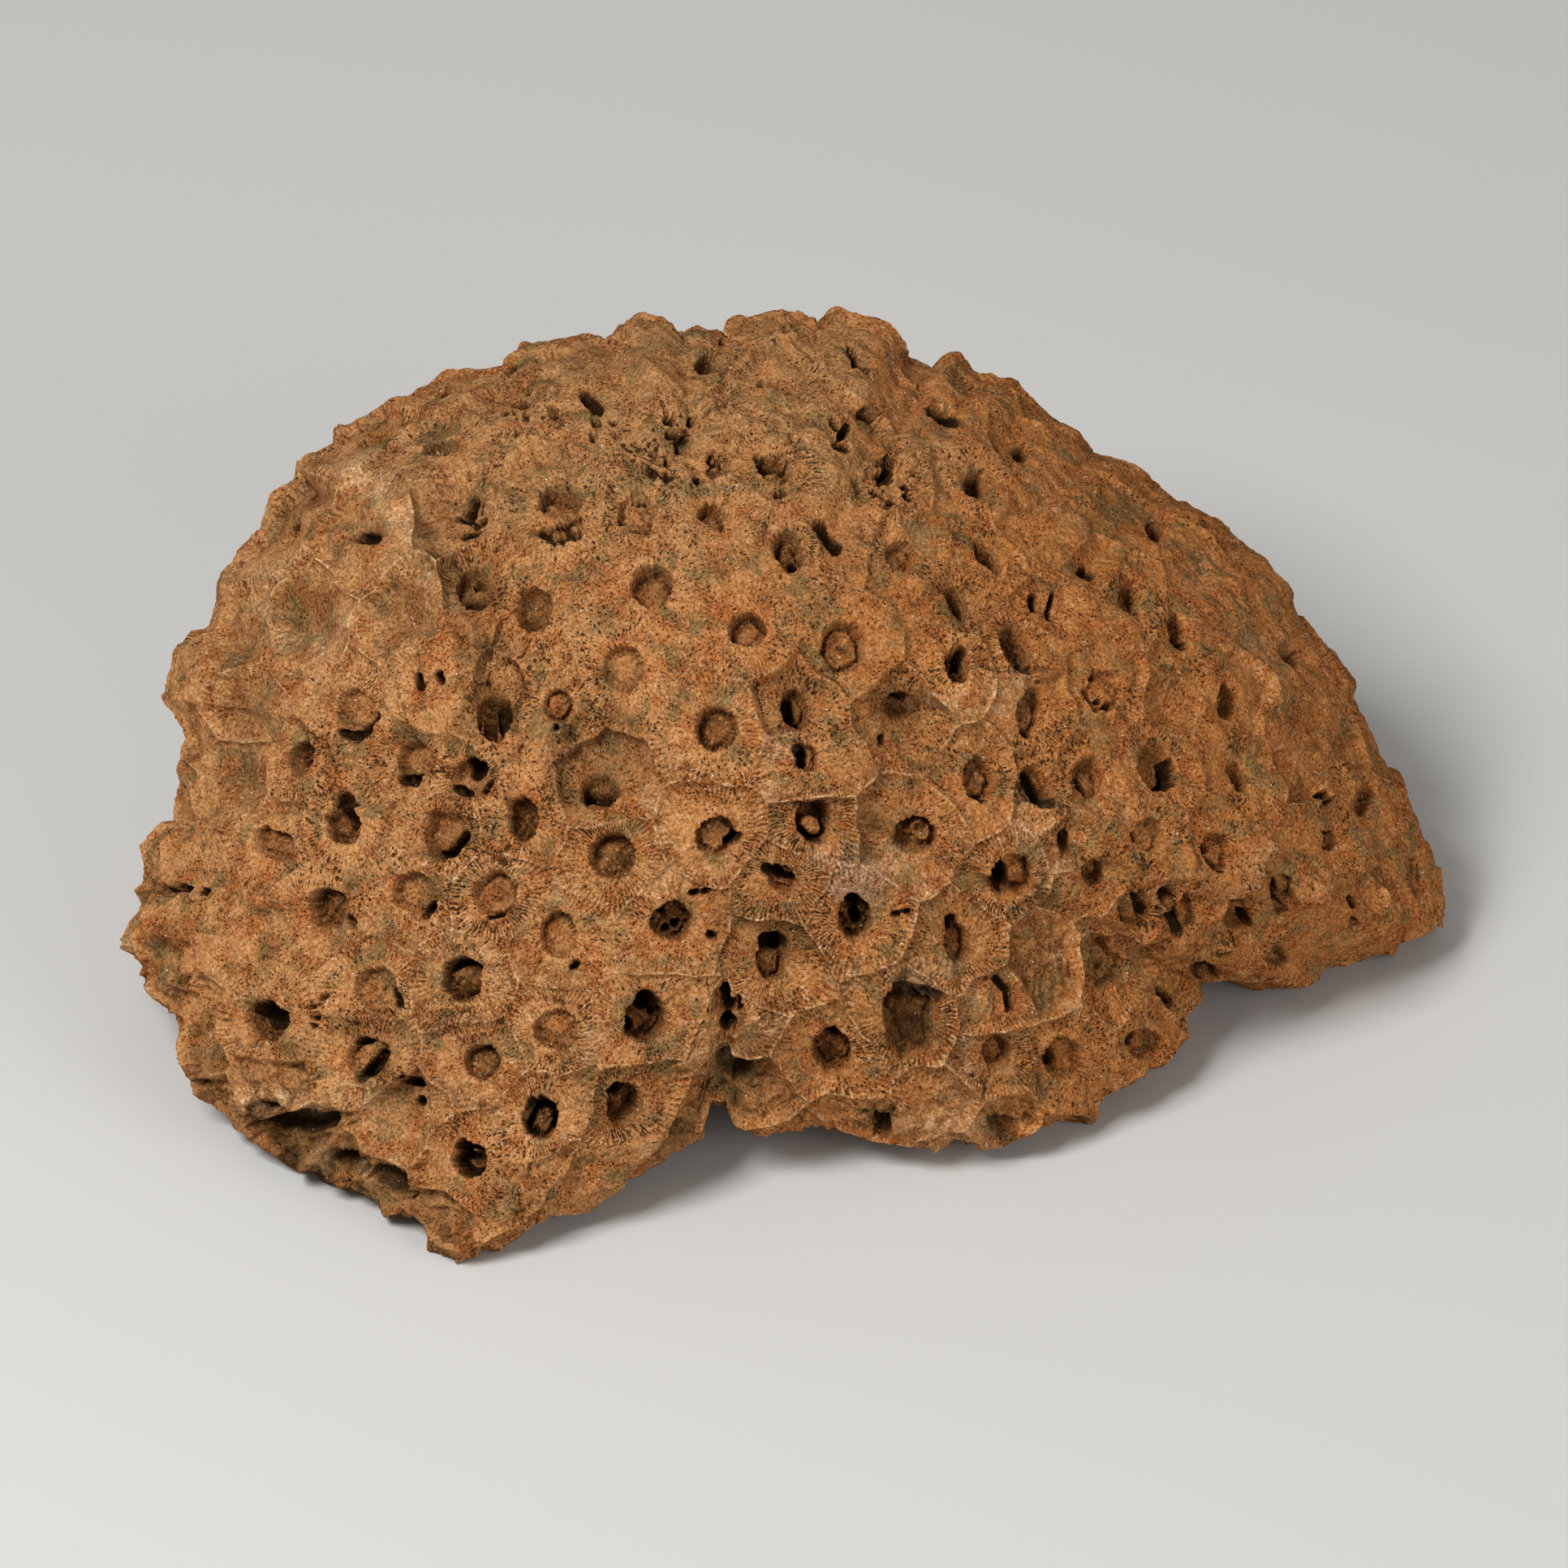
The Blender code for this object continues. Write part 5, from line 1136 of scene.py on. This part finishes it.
# Fine rays of the septa, strongest near the wall, short slots between them, and streaks that run the same way
septa_wave = sum_up("SINE", sum_up("MULTIPLY_ADD", cup_turn, 62.0, times(patchy, 7.0)))
rays = times(septa_wave, between(from_wall, 2.8, 0.3), sum_up("MULTIPLY_ADD", cup_rays, 0.70, 0.32),
             between(crisp, 0.34, 0.80, 0.30, 1.0), between(crumbs, 0.36, 0.58, 0.25, 1.0),
             between(regions, 0.36, 0.54, 0.50, 1.1), on_platform)
slot_place = put("ShaderNodeVectorMath", {0: ray_place, 1: (1.2, 1.2, 2.0)}, operation="MULTIPLY").outputs[0]
slots = times(between(septa_wave, 0.20, -0.75), between(cloud(slot_place, 1.0, 2.0, 0.6), 0.48, 0.58),
              between(from_wall, 3.6, 0.8), between(patchy, 0.40, 0.58, 0.30, 1.0),
              sum_up("MULTIPLY_ADD", most(cup_rays, porous), 0.42, 0.36), on_platform)
pores = most(times(most(ray_pores, slots), between(netted, 0.0, 1.0, 1.0, 0.3)), any_pores, net_pores)
streaks = cloud(round_the_cup(8.0, 0.8), 1.0, 2.0, 0.6)
streaky = times(between(crisp, 0.36, 0.90, 0.10, 1.0), outside_pit)
# Painted highlight: thin pale lines along the crisp wall crests
crest = times(between(from_wall, 0.25, 0.03, 0.0, 0.95), between(crisp, 0.45, 0.95, 0.10, 0.85),
              between(cloud(in_mm, 0.9, 3.0, 0.6), 0.46, 0.62))

# The colours, laid one over the other by their shares: the stone's own, then stains, painted shade, dirt and
# wear, and painted highlights and glints
side_share = between(sum_up("MULTIPLY_ADD", broad, 60.0, across_mm), -25.0, 70.0)
stain_place = tuple(body(directions_to((STAIN_PLACE_PX,)))[0])
stain_gap = put("ShaderNodeVectorMath", {0: in_mm, 1: stain_place}, operation="DISTANCE").outputs["Value"]
stain_gap = sum_up("MULTIPLY_ADD", patchy, 6.0, stain_gap)
# An olive-tan tone that grows towards the top
high_up = between(sum_up("MULTIPLY_ADD", regions, 30.0, up_mm), 73.0, 88.0, 0.0, 0.36)
grime = times(between(cloud(in_mm, 0.22, 5.0, 0.70), 0.50, 0.62), between(from_wall, 0.2, 1.4, 0.40, 0.76))
mottled = times(between(shade_depth_mm, 0.8, 1.8), between(cloud(in_mm, 1.5, 3.0, 0.7), 0.50, 0.62), 0.42)
# Pale wear where rubbed, and painted highlight on lit crests and edges
rubbed_and_lit = times(wear_and_highlight, between(crumbs, 0.44, 0.60, 0.30, 1.0), 0.65)
colour = tint(side_share, TAN, RUST)
for share, laid_on in (
        (between(patchy, 0.42, 0.62, 0.0, 0.90), RED_BROWN),
        (between(crumbs, 0.46, 0.66, 0.0, 0.60), TAN),
        (times(between(streaks, 0.50, 0.70, 0.0, 0.32), streaky), PALE_CREST),
        (times(between(streaks, 0.50, 0.32, 0.0, 0.38), streaky), DEEP_BROWN),
        (between(stain_gap, 7.6, 5.0, 0.0, 0.5), GREY_MAUVE),
        (between(rays, 0.1, -0.8, 0.0, 0.44), DEEP_BROWN),
        (between(rays, 0.2, 0.9, 0.0, 0.28), PALE_CREST),
        (high_up, OLIVE_TAN_TOP),
        (grime, OLIVE),
        # Painted shade and grime on platforms sunk below their wall, and a painted highlight on raised places
        (between(stand, -0.2, -1.9, 0.0, 0.40), SHADED),
        (between(stand, 0.35, 0.90, 0.0, 0.25), PALE_CREST),
        # Painted shade: pits and cuts go deep brown, then near black, by how deep in shade they lie
        (between(shade_depth_mm, 0.4, 2.4, 0.0, 0.66), DEEP_BROWN),
        (mottled, TAN),
        (times(between(shade_depth_mm, 1.2, 2.6), between(crumbs, 0.44, 0.58, 0.0, 0.6)), NEAR_BLACK),
        (between(shade_depth_mm, 2.7, 4.3, 0.0, 0.92), NEAR_BLACK),
        # Painted shade and grime in hollows and under the lip, near black where strongest
        (times(grime_and_shade, between(crumbs, 0.30, 0.55, 0.95, 0.62)), SHADED),
        (between(grime_and_shade, 0.70, 1.05, 0.0, 0.60), NEAR_BLACK),
        # Painted shade: the pores and slots drawn near black, as the shade inside them
        (times(pores, 0.88), NEAR_BLACK),
        (crest, PALE_CREST),
        (rubbed_and_lit, PALE_CREST),
        # Painted glints: tiny white highlights scattered over the stone
        (between(cloud(in_mm, 3.0, 2.0, 0.5), 0.71, 0.74, 0.0, 0.70), WHITE_GLINT)):
    colour = tint(share, colour, laid_on)
colour = tint(1.0, colour, tint(between(grain, 0.30, 0.70), DARK_GRAIN, PALE_GRAIN), "MULTIPLY")

relief = times(grain, 0.14)
for form, height_mm in ((crumbs, 0.24), (rays, 0.06), (pores, -0.20)):
    relief = sum_up("MULTIPLY_ADD", form, height_mm, relief)
bumps = put("ShaderNodeBump", {"Height": relief, "Strength": 1.0, "Distance": 0.001}).outputs[0]
surface = stone.node_tree.nodes["Principled BSDF"]
rough = between(grain, 0.3, 0.7, 0.95, 0.78)
for label, source in (("Base Color", colour), ("Roughness", rough), ("Normal", bumps)):
    stone.node_tree.links.new(source, surface.inputs[label])
surface.inputs["Specular IOR Level"].default_value = 0.03

patch_numbers = [patch_of(cup) for cup in range(len(cup_directions))]
for number, patch in enumerate(PATCHES):
    skin = build_patch("coral_" + patch, np.flatnonzero(np.equal(patch_numbers, number)))
    skin.data.materials.append(stone)
    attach(skin, "root")
    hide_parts("coral_colony")

# The floor is a plain pale sheet that the coral rests on. It isn't part of the object.
bpy.ops.mesh.primitive_plane_add(size=6.0, location=(0.0, 0.0, -0.0002))
floor = bpy.context.active_object
floor.name = "floor"
paint = bpy.data.materials.new("pale_floor")
paint.use_nodes = True
paint_surface = paint.node_tree.nodes["Principled BSDF"]
paint_surface.inputs["Base Color"].default_value = (0.52, 0.515, 0.50, 1.0)
paint_surface.inputs["Roughness"].default_value = 0.7
floor.data.materials.append(paint)


# Soft studio light: a big lamp from the upper left, a weaker one from the right and a pale surround.
def soft_lamp(name, place, size, watts):
    """A square lamp at a place in metres that faces the coral."""
    lamp = bpy.data.lights.new(name, "AREA")
    lamp.energy = watts
    lamp.size = size
    holder = bpy.data.objects.new(name, lamp)
    holder.location = place
    holder.rotation_euler = (-Vector(place)).to_track_quat("-Z", "Y").to_euler()
    bpy.context.scene.collection.objects.link(holder)


soft_lamp("key_lamp", (-0.42, -0.45, 0.80), 0.36, 10.9)
soft_lamp("fill_lamp", (0.85, -0.85, 0.40), 0.8, 7.3)
surround = bpy.data.worlds.new("surround")
surround.use_nodes = True
glow = surround.node_tree.nodes["Background"]
glow.inputs["Color"].default_value = (1.0, 0.975, 0.93, 1.0)
glow.inputs["Strength"].default_value = 0.31
bpy.context.scene.world = surround
bpy.context.scene.view_settings.view_transform = "Standard"

# The camera looks down on the coral at 35 degrees, from far off so that the shapes stay true.
FRAME_WIDTH_M = 2 * FRAME_MIDDLE_PX[0] * MM_PER_PX * 0.001
CAMERA_AWAY = 3.0
camera_data = bpy.data.cameras.new("camera")
camera_data.sensor_width = 36.0
camera_data.lens = camera_data.sensor_width * CAMERA_AWAY / FRAME_WIDTH_M
camera = bpy.data.objects.new("camera", camera_data)
aim = Vector((-MIDDLE[0], -MIDDLE[1], -GROUND)) * 0.001
away = Vector((0.0, -math.cos(VIEW_TILT), math.sin(VIEW_TILT)))
camera.location = aim + away * CAMERA_AWAY
camera.rotation_euler = (-away).to_track_quat("-Z", "Y").to_euler()
camera_data.clip_end = 20.0
bpy.context.scene.collection.objects.link(camera)
bpy.context.scene.camera = camera
